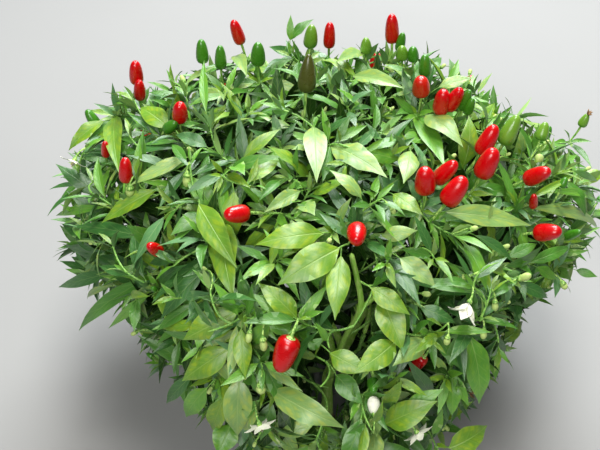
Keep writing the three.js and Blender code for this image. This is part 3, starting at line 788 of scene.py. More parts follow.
def family_of(place, rng):
    """The spray's family of tints, by where it stands."""
    lime = commonness(place, LIME_PLACES, LEAST_LIME)
    deep = commonness(place, DEEP_PLACES, LEAST_DEEP)
    weights = np.array([lime, OTHER_FAMILIES, OTHER_FAMILIES, deep])
    return pick(("lime", "fresh", "mid", "deep"), weights / weights.sum(), rng)


# Pale is partly the real paleness of old leaves and partly painted sheen.
OLD_TINTS = {"lime": ("lime", "pale", "fresh"), "fresh": ("fresh", "pale", "mid"),
             "mid": ("mid", "fresh", "bluish"), "deep": ("deep", "deep", "mid")}
TIP_TINTS = {"lime": ("fresh", "mid", "lime"), "fresh": ("mid", "fresh", "pale"),
             "mid": ("mid", "bluish", "lime"), "deep": ("deep", "mid", "bluish")}
YOUNG_LEAVES = 4
OLD_SHARES = (0.55, 0.25, 0.2)
TIP_SHARES = (0.5, 0.3, 0.2)


def has_room(samples, around, reach, gap):
    """For each leaf, whether it stays in its mass's space and hides no open place."""
    inside = inside_space(samples, around["mass"], around["seeds"], reach, gap).all(axis=1)
    return inside & ~around["windows"].hidden(samples)


def grow_side_leaves(shoot, family, sizes, around, rng):
    """The larger leaves along a shoot, each the clearest of several ways to stand."""
    leaves = []
    count = int(np.clip(round(shoot.length / SIDE_LEAF_ROOM), 1, 5))
    ways = SIDE_LEAF_WAYS
    turn = rng.random() * 360
    for i in range(count):
        share = 0.22 + 0.68 * (i + 0.5) / count
        node = shoot.at(share)
        way = shoot.way(share)
        long_chance = 0.2 + 0.3 * min(abs(node[0]) / 150, 1)
        kind = "long" if family == "deep" or rng.random() < long_chance else "broad"
        length, width = sizes[kind]
        young = 1 - 0.3 * share
        turns = np.radians(turn + GOLDEN_TURN * i + jitter(rng, ways, np.linspace(20, 300, ways)))
        angles = np.radians(48 + 34 * rng.random(ways))
        along = tilted(way, angles, turns) + outward(node) * 0.3 - UP * 0.12
        along = unit(along + jitter(rng, (ways, 3), 0.25))
        light = unit(outward(node) * 0.55 + UP * 0.8 + jitter(rng, (ways, 3), 0.5))
        size = young * (0.8 + 0.4 * rng.random()) * np.linspace(1, 0.72, ways)
        petiole = rng.uniform(*LEAF_KINDS[kind]["petiole"])
        root = node + (along * 0.75 + way * 0.25) * petiole
        drawn = draw_leaves(kind, root, along, light, length * size, width * size, rng)
        samples = blade_points(drawn, SAMPLE_ROWS, SAMPLE_COLUMNS).reshape(ways, -1, 3)
        inside = has_room(samples, around, LEAF_REACH, SIDE_LEAF_GAP)
        others = around["standing"].near(samples.reshape(-1, 3))
        clear = np.full(ways, CLEAR_AT)
        if len(others):
            gaps = np.linalg.norm(samples[:, :, None] - others, axis=-1)
            gaps[np.linalg.norm(samples - node, axis=-1) < CLEAR_AT] = CLEAR_AT
            clear = gaps.min(axis=(1, 2))
        liking = np.minimum(clear, AMPLE_CLEAR) + np.linspace(1.2, 0, ways)
        fit = np.where(inside & (clear > LEAST_CLEAR), liking, -1)
        best = int(np.argmax(fit))
        if fit[best] < 0:
            continue
        around["standing"].add(samples[best])
        tint = pick(OLD_TINTS[family], OLD_SHARES, rng)
        # Leaves deep in the crown get the dark shaded tint: painted shade where shadow falls.
        if share_out(node) < PAINTED_SHADE_REACH:
            tint = "shaded"
        leaves.append(one_leaf(drawn, best, kind, tint, node))
    return leaves


def grow_rosette(shoot, family, sizes, around, rng):
    """The narrow leaves round a shoot's tip, the youngest ones upright in its middle."""
    tip = shoot.points[-1]
    way = unit(shoot.way(1.0) + UP * 0.45 + outward(tip) * 0.2)
    outer = int(rng.integers(6, 10))
    count = outer + YOUNG_LEAVES
    order = np.arange(count)
    turns = np.radians(rng.random() * 360 + GOLDEN_TURN * order)
    opened = np.clip(1 - order / count, 0, 1)
    angles = np.radians(14 + 68 * opened**0.8 + jitter(rng, count, 14))
    along = unit(tilted(way, angles, turns) + jitter(rng, (count, 3), 0.2))
    light = unit(way * 0.9 + UP * 0.5 + jitter(rng, (count, 3), 0.5))
    length, width = sizes["small"]
    length = length * (1 + 0.2 * min(abs(tip[0]) / 150, 1))
    size = (0.34 + 0.74 * opened) * (0.75 + 0.5 * rng.random(count))
    node = tip - shoot.way(1.0) * (10 * opened)[:, None]
    petiole = (1 + 1.8 * opened)[:, None]
    drawn = draw_leaves("small", node + along * petiole, along, light, length * size, width * size, rng)
    samples = blade_points(drawn, SAMPLE_ROWS[1::2], SAMPLE_COLUMNS).reshape(count, -1, 3)
    leaves = []
    for i in np.flatnonzero(has_room(samples, around, TIP_LEAF_REACH, TIP_LEAF_GAP)):
        kind = "small" if i < outer else "tiny"
        tint = pick(TIP_TINTS[family], TIP_SHARES, rng)
        # Leaves deep in the crown get the dark shaded tint: painted shade where shadow falls.
        if share_out(tip) < PAINTED_SHADE_REACH:
            tint = "shaded"
        elif i >= outer:
            tint = pick(("fresh", "lime", "pale"), TIP_SHARES, rng)
        leaves.append(one_leaf(drawn, i, kind, tint, node[i]))
    return leaves


def part_of(mass):
    """The piece that a mass's leaves are joined into: its ring, in two parts where the ring is large."""
    if mass["ring"] in ("top", "upper"):
        return mass["ring"]
    side = "front" if mass["seed"][1] < CROWN_MIDDLE[1] else "back"
    return f"{mass['ring']}_{side}"


EXTRA_CHANCES = {"bud": 0.22, "small": 0.13}
FACES_VIEW = 0.72


def extra_pieces(shoot, has_listed, around, rng):
    """Small pods, buds and flowers that stand at a shoot's tip, clear of the leaves there."""
    pieces = []
    tip = shoot.points[-1]
    way = shoot.way(1.0)
    facing = outward(tip) @ EYE_BACK
    for kind in ("bud", "small") if has_listed else ("bud", "bud", "small"):
        if rng.random() > EXTRA_CHANCES[kind]:
            continue
        if kind == "small" and facing > FACES_VIEW:
            continue
        if kind == "bud" and facing < 0.1 and rng.random() < 0.1:
            kind = "flower"
        if kind == "small" and rng.random() < 0.12:
            kind = "wilted"
        aim = unit(tilted(way, math.radians(20 + 30 * rng.random()), rng.random() * 2 * np.pi) + UP * 0.5)
        base = tip + aim * rng.uniform(7, 13)
        nod = aim if kind in ("small", "wilted") else unit(aim * 0.4 + outward(tip) * 0.6 - UP * 0.3)
        if share_out(base + nod * 8) > LEAF_REACH:
            continue
        size = rng.uniform(0.5, 1.0)
        length, radius = {
            "bud": (6.4 * size, 1.9 * size), "flower": (9.0, 6.0), "wilted": (7.0 * size, 2.8 * size),
            "small": (8.0 * size, 3.2 * size),
        }[kind]
        node = tip - way * rng.uniform(0, 4)
        line = base + nod * length * np.linspace(0, 1, 3)[:, None]
        others = around["standing"].near(line)
        gaps = np.linalg.norm(line[:, None] - others, axis=-1)
        if around["windows"].hidden(line[None])[0] or (kind != "bud" and gaps.min(initial=9.0) < radius + 1):
            continue
        pieces.append(
            {"kind": kind, "base": base, "way": nod, "length": length, "radius": radius, "node": node}
        )
    return pieces


@functools.lru_cache(maxsize=1)
def grow_plant(sizes):
    """The whole plant: limbs, shoots, leaves, pods and flowers. sizes are in millimetres."""
    sizes = dict(sizes)
    limbs, masses = grow_limbs()
    seeds = [mass["seed"] for mass in masses]
    listed = listed_pieces()
    windows = Windows()
    shown_ones = shown_boughs(limbs[0])
    windows.add([limbs[0].at(share) for share in np.linspace(0.2, 0.8, 20)], STEM_WINDOW)
    for bough, radius in zip(shown_ones, BOUGH_WINDOWS):
        windows.add(bough.points[::2], radius)
    limbs += shown_ones
    standing = Standing()
    for limb in limbs:
        standing.add(limb.points[::2])
    for row in listed:
        line = row["base"] + row["way"] * row["length"] * np.linspace(0, 1, 5)[:, None]
        if row["shown"] and row["radius"] > HALF_HIDDEN_RADIUS:
            windows.add(line, row["radius"] + POD_WINDOW_MARGIN)
        if row["kind"] == "olive":
            windows.add(stalk_line(row), STALK_WINDOW)
        standing.add(line)
    shown = shown_leaves(seeded(3))
    for row in shown:
        windows.add(row["samples"][:4, 1], SHOWN_MARGIN * float(row["leaf"]["width"]))
        standing.add(row["samples"])
    windows.close()
    for mass in masses:
        mass["listed"] = []
    for row in listed + shown:
        owner = min(masses, key=lambda mass: np.linalg.norm(mass["seed"] - row["node"]))
        owner["listed"].append(row)
        if "leaf" in row:
            row["leaf"]["part"] = part_of(owner)
    leaves = [row["leaf"] for row in shown]
    pieces = list(listed)
    for index, mass in enumerate(masses):
        mass["shoots"] = grow_shoots(mass, seeds, mass["listed"], seeded(97 * index))
        for shoot in mass["shoots"]:
            standing.add(shoot.points[2:])
    for index, mass in enumerate(masses):
        rng = seeded(97 * index + 11)
        around = {"mass": mass, "seeds": seeds, "windows": windows, "standing": standing}
        for shoot in mass["shoots"][1:]:
            family = family_of(shoot.points[-1], rng)
            own = [row for row in mass["listed"] if np.linalg.norm(row["node"] - shoot.points[-1]) < 0.5]
            grown = grow_side_leaves(shoot, family, sizes, around, rng)
            grown += grow_rosette(shoot, family, sizes, around, rng)
            for leaf in grown:
                leaf["part"] = part_of(mass)
            leaves += grown
            pieces += extra_pieces(shoot, bool(own), around, rng)
    return limbs, masses, leaves, pieces


def leaf_sizes(scene):
    leaf = scene.chilli_leaves
    return tuple(
        (kind, (length / MM, width / MM))
        for kind, length, width in (
            ("broad", leaf.broad_length, leaf.broad_width),
            ("long", leaf.long_length, leaf.long_width),
            ("small", leaf.small_length, leaf.small_width),
        )
    )


class Sheets:
    """Grids of points, a row of four-sided faces between each two rows, that become one mesh."""

    def __init__(self):
        self.points = []
        self.quads = []
        self.atlas = []
        self.slots = []
        self.count = 0

    def add(self, points, atlas, slots=0, closed=False, flip=False):
        """points holds sheets, rows, columns and places. A closed sheet's atlas has a column more."""
        sheets, rows, columns, _ = points.shape
        across = columns if closed else columns - 1
        i, j = np.meshgrid(np.arange(rows - 1), np.arange(across), indexing="ij")
        corners = [(i, j), (i + 1, j), (i + 1, j + 1), (i, j + 1)]
        if flip:
            corners.reverse()
        index = np.stack([a * columns + b % columns for a, b in corners], axis=-1).reshape(-1, 4)
        starts = self.count + np.arange(sheets) * rows * columns
        self.quads.append((starts[:, None, None] + index).reshape(-1, 4))
        atlas = np.broadcast_to(atlas, (sheets,) + atlas.shape[-3:])
        places = np.stack([atlas[:, a, b] for a, b in corners], axis=-2)
        self.atlas.append(places.reshape(-1, 2))
        self.slots.append(np.repeat(np.broadcast_to(slots, (sheets,)), len(index)))
        self.points.append(points.reshape(-1, 3))
        self.count += sheets * rows * columns

    def add_round(self, points, slots=0, reach=1.0):
        """Sheets that close on themselves, such as tubes, with their outer faces out."""
        _, rows, columns, _ = points.shape
        self.add(points, surface_atlas(rows, columns + 1, reach), slots, closed=True, flip=True)

    def mesh(self, name):
        points = np.concatenate(self.points) * MM
        quads = np.concatenate(self.quads)
        atlas = np.concatenate(self.atlas)
        mesh = bpy.data.meshes.new(name)
        mesh.vertices.add(len(points))
        mesh.vertices.foreach_set("co", points.astype(np.float32).ravel())
        mesh.loops.add(quads.size)
        mesh.loops.foreach_set("vertex_index", quads.astype(np.int32).ravel())
        mesh.polygons.add(len(quads))
        mesh.polygons.foreach_set("loop_start", np.arange(0, quads.size, 4, dtype=np.int32))
        mesh.polygons.foreach_set("material_index", np.concatenate(self.slots).astype(np.int32))
        mesh.polygons.foreach_set("use_smooth", np.ones(len(quads), bool))
        for layer in ("surface", "OFBake"):
            mesh.uv_layers.new(name=layer).data.foreach_set("uv", atlas.astype(np.float32).ravel())
        mesh.update()
        return mesh


def make_piece(name, sheets, materials, replaced=()):
    """One object of joined sheets, riding on the plant's only body."""
    piece = bpy.data.objects.new(name, sheets.mesh(name))
    bpy.context.collection.objects.link(piece)
    for material in materials:
        piece.data.materials.append(material)
    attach(piece, "root")
    if replaced:
        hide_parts(*replaced)
    return piece


def surface_atlas(rows, columns, reach=1.0):
    """Atlas places of a sheet: along its rows, then across its columns."""
    u, v = np.meshgrid(np.linspace(0, 1, rows), np.linspace(0, 1, columns), indexing="ij")
    return np.stack([reach * u, v], axis=-1)[None]


def across_of(ways):
    """Two directions square to each of many."""
    reference = np.where(np.abs(ways[..., 2:3]) > 0.85, np.array([1.0, 0, 0]), UP)
    side = unit(np.cross(ways, reference))
    return side, np.cross(ways, side)


def tube_points(lines, radii, sides):
    """Rings of points round lines. radii has a value for each point, or for each place on its ring."""
    ways = unit(np.gradient(lines, axis=-2))
    reference = unit(lines[:, -1] - lines[:, 0])
    side, _ = across_of(reference)
    side = unit(side[:, None] - ways * np.sum(side[:, None] * ways, axis=-1, keepdims=True))
    other = np.cross(ways, side)
    turn = 2 * np.pi * np.arange(sides) / sides
    ring = side[:, :, None] * np.cos(turn)[:, None] + other[:, :, None] * np.sin(turn)[:, None]
    if radii.ndim == 2:
        radii = radii[..., None]
    return lines[:, :, None] + ring * radii[..., None]


def turned_points(base, way, outline, sides, bend=0.0, lobes=0.0, count=5, start=0.0):
    """Rings of points round a way: outline is pairs of radius and height, in millimetres."""
    side, other = across_of(way[None])
    side, other = side[0], other[0]
    outline = np.asarray(outline, float)
    height = outline[:, 1:2]
    top = max(outline[-1, 1], 1e-6)
    turn = 2 * np.pi * np.arange(sides) / sides + start
    radius = outline[:, :1] * (1 + lobes * np.cos(count * turn))
    middle = base + way * height + side * bend * (height / top) ** 2 * top
    ring = side * np.cos(turn)[:, None] + other * np.sin(turn)[:, None]
    return (middle[:, None] + ring[None] * radius[..., None])[None]


def build_limbs(limbs, relief):
    """The stem, boughs and branches: ribbed, swollen at their nodes, with fine relief."""
    sheets = Sheets()
    turn = 2 * np.pi * np.arange(LIMB_SIDES) / LIMB_SIDES
    for number, limb in enumerate(limbs):
        rows = int(max(12, limb.length / LIMB_ROW))
        line = evenly(limb.points, rows)
        share = np.linspace(0, 1, rows)
        radius = np.interp(share, limb.shares, limb.radii)
        for along in limb.children:
            radius = radius * (1 + 0.2 * np.exp(-(((share - along) * limb.length / 4.5) ** 2)))
        if limb.name != "main_stem":
            radius = radius * (1 + 0.3 * np.exp(-share * limb.length / 4))
        radius[-1] = 0.02
        rng = seeded(number)
        twist = share * 0.8 + rng.random() * 6
        ribs = np.cos(5 * turn[None] + twist[:, None] * 2)
        fine = np.cos(11 * turn[None] + 3 * share[:, None] * limb.length / 30 + rng.random() * 6)
        coarse = rng.normal(size=(rows, LIMB_SIDES))
        coarse = (coarse + np.roll(coarse, 1, 0) + np.roll(coarse, 1, 1) + np.roll(coarse, 2, 0)) / 4
        rings = radius[:, None] * (1 + relief * (ribs + 0.35 * fine + 0.25 * coarse))
        points = tube_points(line[None], rings[None], LIMB_SIDES)
        if limb.name == "main_stem":
            points[..., 2] = np.maximum(points[..., 2], 0.0)
        sheets.add_round(points, reach=limb.length / LIMB_ATLAS_LENGTH)
    return sheets


def build_twigs(masses, leaves):
    """Shoots and leaf stalks."""
    shoots = [shoot for mass in masses for shoot in mass["shoots"]]
    sheets = Sheets()
    lines = np.array([shoot.points for shoot in shoots])
    radii = np.array([shoot.radii for shoot in shoots])
    radii = radii * (1 + 0.35 * np.exp(-np.arange(SHOOT_POINTS) / 0.8))
    radii[:, -1] *= 0.35
    sheets.add_round(tube_points(lines, radii, 7))
    for large in (True, False):
        some = [leaf for leaf in leaves if (leaf["kind"] in ("broad", "long")) == large]
        starts = np.array([leaf["node"] for leaf in some])
        ends = np.array([leaf["root"] + leaf["along"] * 0.8 for leaf in some])
        way = ends - starts
        shares = np.linspace(0, 1, 4 if large else 2)
        lines = starts[:, None] + way[:, None] * shares[:, None]
        lines += UP * (0.24 * np.linalg.norm(way, axis=1)[:, None] * shares * (1 - shares))[..., None]
        radii = 0.029 * np.array([leaf["width"] for leaf in some])[:, None] * (1.3 - 0.4 * shares)
        sheets.add_round(tube_points(lines, np.maximum(radii, LEAST_STALK_RADIUS), 5 if large else 3))
    return sheets


def tile_atlas(shares, across, tile):
    """Places in one tile of the leaf atlas for points at shares of a blade's length and half width."""
    width = np.interp(shares, OUTLINE_AT, OUTLINE)
    u = np.broadcast_to(np.asarray(shares)[:, None], (len(shares), len(across)))
    v = 0.5 + 0.5 * np.asarray(across)[None] * width[:, None]
    inner = 1 - 2 * TILE_MARGIN
    column, row = tile % ATLAS_TILES, tile // ATLAS_TILES
    u = (column + TILE_MARGIN + inner * u) / ATLAS_TILES
    v = (row + TILE_MARGIN + inner * v) / ATLAS_TILES
    return np.stack([u, v], axis=-1)


def add_blades(sheets, leaves, kind):
    """Leaves of one kind: an upper face, and a plainer lower one that meets it at the edge."""
    form = LEAF_KINDS[kind]
    names = [name for name in leaves[0] if name not in ("kind", "tint", "node", "part")]
    stack = {name: np.array([leaf[name] for leaf in leaves], float) for name in names}
    shares = np.linspace(0, 1, form["rows"]) ** 1.05
    across = np.linspace(-1, 1, form["columns"] + 1)
    upper = blade_points(stack, shares, across)
    lower = blade_points(stack, shares, (-1, 0, 1))
    normal = np.cross(stack["along"], unit(np.cross(stack["light"], stack["along"])))
    lower[:, :, 1] -= normal[:, None] * (0.02 * stack["width"])[:, None, None]
    tints = np.array([TINTS.index(leaf["tint"]) for leaf in leaves])
    variant = np.arange(len(leaves)) % 2
    under = np.where(tints < 2, TINTS.index("pale_underside"), TINTS.index("underside"))
    # Shaded leaves keep their painted shade on their lower faces as well.
    under = np.where(tints == TINTS.index("shaded"), tints, under)
    tiles = np.array(TILES)
    for face, columns, slots in ((upper, across, tints), (lower, (-1, 0, 1), under)):
        places = np.stack([tile_atlas(shares, columns, tile) for tile in range(ATLAS_TILES**2)])
        sheets.add(face, places[tiles[variant, slots]], slots, flip=face is lower)


POD_OUTLINE = (
    (0.02, 0.0), (0.5, 0.0), (0.8, 0.05), (0.95, 0.13), (1.0, 0.24), (0.99, 0.38), (0.95, 0.52),
    (0.88, 0.66), (0.79, 0.78), (0.66, 0.875), (0.49, 0.945), (0.28, 0.99), (0.08, 1.0), (0.01, 0.99),
)
POINTED = {"olive": 0.45, "young": 0.2, "green": 0.12, "small": 0.2, "wilted": 0.3}
BUD_OUTLINE = (
    (0.02, 0), (0.5, 0.03), (0.8, 0.2), (0.97, 0.45), (1.0, 0.6), (0.85, 0.8), (0.5, 0.95), (0.02, 1),
)
CALYX_OUTLINE = (
    (0.9, -1.6), (1.25, -0.6), (2.6, 0.05), (3.9, 0.7), (4.5, 1.7), (4.75, 2.7), (4.45, 2.75), (3.9, 1.9),
)
FLOWER_HOLDER = ((0.5, -2.2), (1.1, -1.0), (1.7, 0.4), (1.9, 1.4), (1.5, 1.3))
BUD_HOLDER = ((0.4, -1.6), (1.0, -0.6), (1.75, 0.6), (2.1, 1.7), (1.8, 1.6))
PISTIL = ((0.3, 0.4), (0.35, 3), (0.3, 5.2), (0.55, 5.8), (0.3, 6.3), (0.02, 6.4))
PETAL_LENGTH = 10.0
PETAL_WIDTH = 5.6
POD_SIDES = 22
CALYX_SIDES = 20
FLOWER_OPENED = 72
NODDING_OPENED = 30
# Slots of the flowers' materials, in the order that the piece has them.
PETAL, HOLDER, ANTHER, DRY, BUD = range(5)


def pod_points(row, radius, length, rng):
    outline = np.array(POD_OUTLINE)
    outline[:, 0] *= 1 - POINTED.get(row["kind"], 0.0) * outline[:, 1] ** 2
    outline *= (radius, length)
    bend = 0.1 * (rng.random() - 0.5)
    return turned_points(
        row["base"], row["way"], outline, POD_SIDES, bend=bend, lobes=0.018, count=3, start=rng.random() * 6
    )


def calyx_points(row, scale, rng):
    outline = np.array(CALYX_OUTLINE) * scale
    start = rng.random() * 6
    points = turned_points(row["base"], row["way"], outline, CALYX_SIDES, start=start)
    turn = 2 * np.pi * np.arange(CALYX_SIDES) / CALYX_SIDES + start
    teeth = np.clip(np.cos(5 * turn), 0, 1) ** 2 * 1.3 * scale
    points[0, 5:7] += row["way"] * teeth[:, None]
    return points


def stalk_line(row):
    """A stalk's line from its node, straightening to meet what it carries end on."""
    start = row["node"]
    end = row["base"] - row["way"] * 1.2
    length = np.linalg.norm(end - start)
    return bend_through(start, end - row["way"] * 0.45 * length, end, STALK_POINTS)


def add_stalk(sheets, row, start_radius, end_radius, slot=0):
    radii = np.linspace(start_radius, end_radius, STALK_POINTS)
    sheets.add_round(tube_points(stalk_line(row)[None], radii[None], 8), slot)


def build_fruit(pieces, look):
    """Ripe and green pods, with their calyces and stalks kept apart."""
    ripe, green, holders = Sheets(), Sheets(), Sheets()
    rng = seeded(5)
    for row in pieces:
        kind = row["kind"]
        if kind not in POD_SLOTS:
            continue
        length = row["length"] * look.pod_length
        radius = row["radius"] * look.pod_radius
        sheets = ripe if kind in ("ripe", "hanging", "turning") else green
        sheets.add_round(pod_points(row, radius, length, rng), POD_SLOTS[kind])
        grip = radius / 6.2
        holders.add_round(calyx_points(row, grip, rng))
        add_stalk(holders, row, 0.55 + 0.2 * grip, 0.55 + 0.6 * grip)
    return ripe, green, holders


def build_flowers(pieces, pod_length):
    """Open flowers with their anthers, closed buds, and the withered flowers on the tips of young pods."""
    sheets = Sheets()
    rng = seeded(9)
    for row in pieces:
        kind = row["kind"]
        base, way = row["base"], row["way"]
        if kind in ("flower", "nodding"):
            add_flower(sheets, base, way, FLOWER_OPENED if kind == "flower" else NODDING_OPENED, rng)
            sheets.add_round(turned_points(base, way, FLOWER_HOLDER, 10), HOLDER)
            add_stalk(sheets, row, 0.6, 0.7, HOLDER)
        elif kind in ("bud", "opening"):
            slot, grip = (BUD, 2.1) if kind == "bud" else (PETAL, 3.0)
            outline = np.array(BUD_OUTLINE) * (row["radius"], row["length"])
            sheets.add_round(turned_points(base, way, outline, 12, lobes=0.07), slot)
            holder = np.array(BUD_HOLDER) * (row["radius"] / grip)
            sheets.add_round(turned_points(base, way, holder, 10), HOLDER)
            add_stalk(sheets, row, 0.55, 0.65, HOLDER)
        elif kind == "wilted":
            tip = base + way * row["length"] * pod_length * 0.96
            for k in range(5):
                aim = tilted(way, 0.4 + 0.5 * rng.random(), 2 * np.pi * k / 5 + rng.random())
                line = tip + aim * np.linspace(0, 5.2, 4)[:, None] + UP * -0.25 * np.arange(4)[:, None] ** 1.4
                sheets.add_round(tube_points(line[None], np.array([[0.6, 0.95, 0.6, 0.12]]), 5), DRY)
    return sheets


def add_flower(sheets, base, way, opened, rng):
    """A flower whose petals stand off from its way by an angle in degrees."""
    petals = 5 + int(rng.integers(0, 2))
    turns = 2 * np.pi * np.arange(petals) / petals + rng.random()
    along = unit(tilted(way, np.full(petals, math.radians(opened)), turns))
    light = np.repeat(way[None], petals, axis=0)
    wide_open = opened == FLOWER_OPENED
    size = 1.0 if wide_open else 1.5
    length = np.full(petals, PETAL_LENGTH * size)
    width = np.full(petals, PETAL_WIDTH * size)
    drawn = draw_leaves("small", base + way * 0.8 + along * 0.8, along, light, length, width, rng)
    drawn["bend"] = np.full(petals, 0.75) if wide_open else rng.uniform(0.6, 1.5, petals)
    drawn["lift"] = np.full(petals, 0.2)
    drawn["fold"] = np.full(petals, 0.15)
    shares = np.linspace(0, 1, 7)
    upper = blade_points(drawn, shares, np.linspace(-1, 1, 5))
    lower = blade_points(drawn, shares, (-1, 0, 1))
    lower[:, :, 1] -= way * 0.3
    sheets.add(upper, surface_atlas(7, 5), PETAL)
    sheets.add(lower, surface_atlas(7, 3), PETAL, flip=True)
    for k in range(5):
        aim = tilted(way, 0.28, 2 * np.pi * k / 5 + 0.4)
        line = base + way + aim * np.linspace(0, 4.4, 5)[:, None]
        sheets.add_round(tube_points(line[None], np.array([[0.25, 0.3, 0.75, 0.8, 0.15]]), 6), ANTHER)
    sheets.add_round(turned_points(base, way, PISTIL, 8), ANTHER)


def new_group(name, inputs, outputs):
    """An empty shader node group with its sockets: (name, kind, default)."""
    group = bpy.data.node_groups.new(name, "ShaderNodeTree")
    kinds = {"colour": "NodeSocketColor", "value": "NodeSocketFloat", "vector": "NodeSocketVector"}
    for title, kind, default in inputs:
        socket = group.interface.new_socket(title, in_out="INPUT", socket_type=kinds[kind])
        if default is not None:
            socket.default_value = default
    for title, kind in outputs:
        group.interface.new_socket(title, in_out="OUTPUT", socket_type=kinds[kind])
    return group


class Nodes:
    """Adds nodes to a tree and links them, left to right."""

    def __init__(self, tree):
        self.tree = tree
        self.place = 0

    def add(self, kind, inputs=None, **settings):
        node = self.tree.nodes.new(kind)
        node.location = (self.place * 180, 0)
        self.place += 1
        for name, value in settings.items():
            setattr(node, name, value)
        for key, value in (inputs or {}).items():
            if isinstance(value, bpy.types.NodeSocket):
                self.tree.links.new(value, node.inputs[key])
            else:
                node.inputs[key].default_value = value
        return node

    def math(self, operation, first, second=0.0, third=0.0, clamp=False):
        values = {0: first, 1: second, 2: third}
        return self.add("ShaderNodeMath", values, operation=operation, use_clamp=clamp).outputs[0]

    def times(self, first, second, clamp=False):
        return self.math("MULTIPLY", first, second, clamp=clamp)

    def plus(self, first, second):
        return self.math("ADD", first, second)

    def rest(self, value):
        """What is left of 1."""
        return self.math("SUBTRACT", 1.0, value)

    def ramp(self, value, low, high):
        """0 below low and 1 above high, smooth between."""
        node = self.add("ShaderNodeMapRange", {0: value, 1: low, 2: high}, interpolation_type="SMOOTHSTEP")
        return node.outputs[0]

    def mix(self, share, first, second, blend="MIX"):
        node = self.add("ShaderNodeMix", {0: share, 6: first, 7: second}, data_type="RGBA", blend_type=blend)
        return node.outputs[2]

    def noise(self, vector, scale, detail=3.0, roughness=0.5):
        inputs = {"Vector": vector, "Scale": scale, "Detail": detail, "Roughness": roughness}
        return self.add("ShaderNodeTexNoise", inputs).outputs[0]


def blade_group():
    """A leaf's face: midrib, side veins, the blade quilted between them and yellowed in patches."""
    group = new_group(
        "Leaf blade",
        (
            ("Atlas", "vector", None), ("Blade", "colour", (0.1, 0.25, 0.05, 1)),
            ("Vein", "colour", (0.3, 0.45, 0.15, 1)), ("Patch", "colour", (0.4, 0.5, 0.1, 1)),
            ("Patches", "value", 0.4), ("Raised", "value", 1.0), ("Shine", "value", 0.42),
        ),
        (("Color", "colour"), ("Roughness", "value"), ("Height", "value")),
    )
    n = Nodes(group)
    given = n.add("NodeGroupInput")
    atlas = given.outputs["Atlas"]
    vein = given.outputs["Vein"]
    parts = n.add("ShaderNodeSeparateXYZ", {0: atlas})
    inner = 1 - 2 * TILE_MARGIN
    along = n.math("FRACT", n.times(parts.outputs[0], float(ATLAS_TILES)))
    along = n.math("DIVIDE", n.math("SUBTRACT", along, TILE_MARGIN), inner)
    across = n.math("FRACT", n.times(parts.outputs[1], float(ATLAS_TILES)))
    across = n.math("DIVIDE", n.math("SUBTRACT", across, 0.5), inner * 0.5)
    aside = n.math("ABSOLUTE", across)
    slim = n.math("MULTIPLY_ADD", along, -0.035, 0.05)
    midrib = n.rest(n.ramp(n.math("DIVIDE", aside, slim), 0.5, 1.5))
    bow = n.math("POWER", aside, 0.8)
    sign = n.times(n.math("SIGN", across), 0.17)
    phase = n.math("SUBTRACT", n.times(along, 6.5), n.times(bow, 1.5))
    phase = n.plus(phase, sign)
    off = n.math("ABSOLUTE", n.math("SUBTRACT", n.math("FRACT", phase), 0.5))
    veins = n.rest(n.ramp(off, 0.03, 0.13))
    veins = n.times(veins, n.rest(n.ramp(aside, 0.45, 0.85)))
    veins = n.times(veins, n.rest(n.ramp(along, 0.75, 0.95)))
    quilt = n.times(n.ramp(off, 0.0, 0.4), n.ramp(aside, 0.0, 0.35))
    patchy = n.ramp(n.noise(atlas, 22.0, 4.0, 0.62), 0.4, 0.62)
    patchy = n.times(patchy, n.math("MULTIPLY_ADD", quilt, 0.75, 0.25))
    patchy = n.times(patchy, given.outputs["Patches"], clamp=True)
    colour = n.mix(patchy, given.outputs["Blade"], given.outputs["Patch"])
    cells = {"Vector": atlas, "Scale": 120.0}
    net = n.add("ShaderNodeTexVoronoi", cells, feature="DISTANCE_TO_EDGE").outputs[0]
    net = n.rest(n.ramp(net, 0.0, 0.12))
    colour = n.mix(n.times(net, 0.18), colour, vein)
    colour = n.mix(n.times(veins, 0.36), colour, vein)
    colour = n.mix(n.times(midrib, 0.75), colour, vein)
    # The blade's outline, for a paler band along its edge in the veins' colour: a painted highlight.
    edge = n.add("ShaderNodeFloatCurve", {"Value": along})
    curve = edge.mapping.curves[0].points
    for x, y in list(zip(OUTLINE_AT, OUTLINE))[1:-1]:
        curve.new(x, y)
    curve[0].location = (0.0, OUTLINE[0])
    curve[-1].location = (1.0, OUTLINE[-1])
    edge.mapping.update()
    painted_rim_highlight = n.ramp(n.math("DIVIDE", aside, edge.outputs[0]), 0.84, 0.97)
    colour = n.mix(n.times(painted_rim_highlight, 0.5), colour, vein)
    place = n.add("ShaderNodeTexCoord").outputs["Object"]
    shade = n.ramp(n.noise(place, 38.0, 1.0), 0.3, 0.7)
    dark = n.mix(1.0, colour, (0.72, 0.78, 0.72, 1), "MULTIPLY")
    colour = n.mix(shade, dark, colour)
    speck = n.ramp(n.noise(atlas, 300.0, 2.0), 0.62, 0.75)
    rough = n.plus(given.outputs["Shine"], n.times(speck, 0.1))
    rough = n.plus(rough, n.times(midrib, 0.12))
    height = n.math("SUBTRACT", n.times(quilt, 0.24), midrib)
    height = n.times(height, given.outputs["Raised"])
    height = n.plus(height, n.times(net, -0.06))
    n.add("NodeGroupOutput", {"Color": colour, "Roughness": rough, "Height": height})
    return group


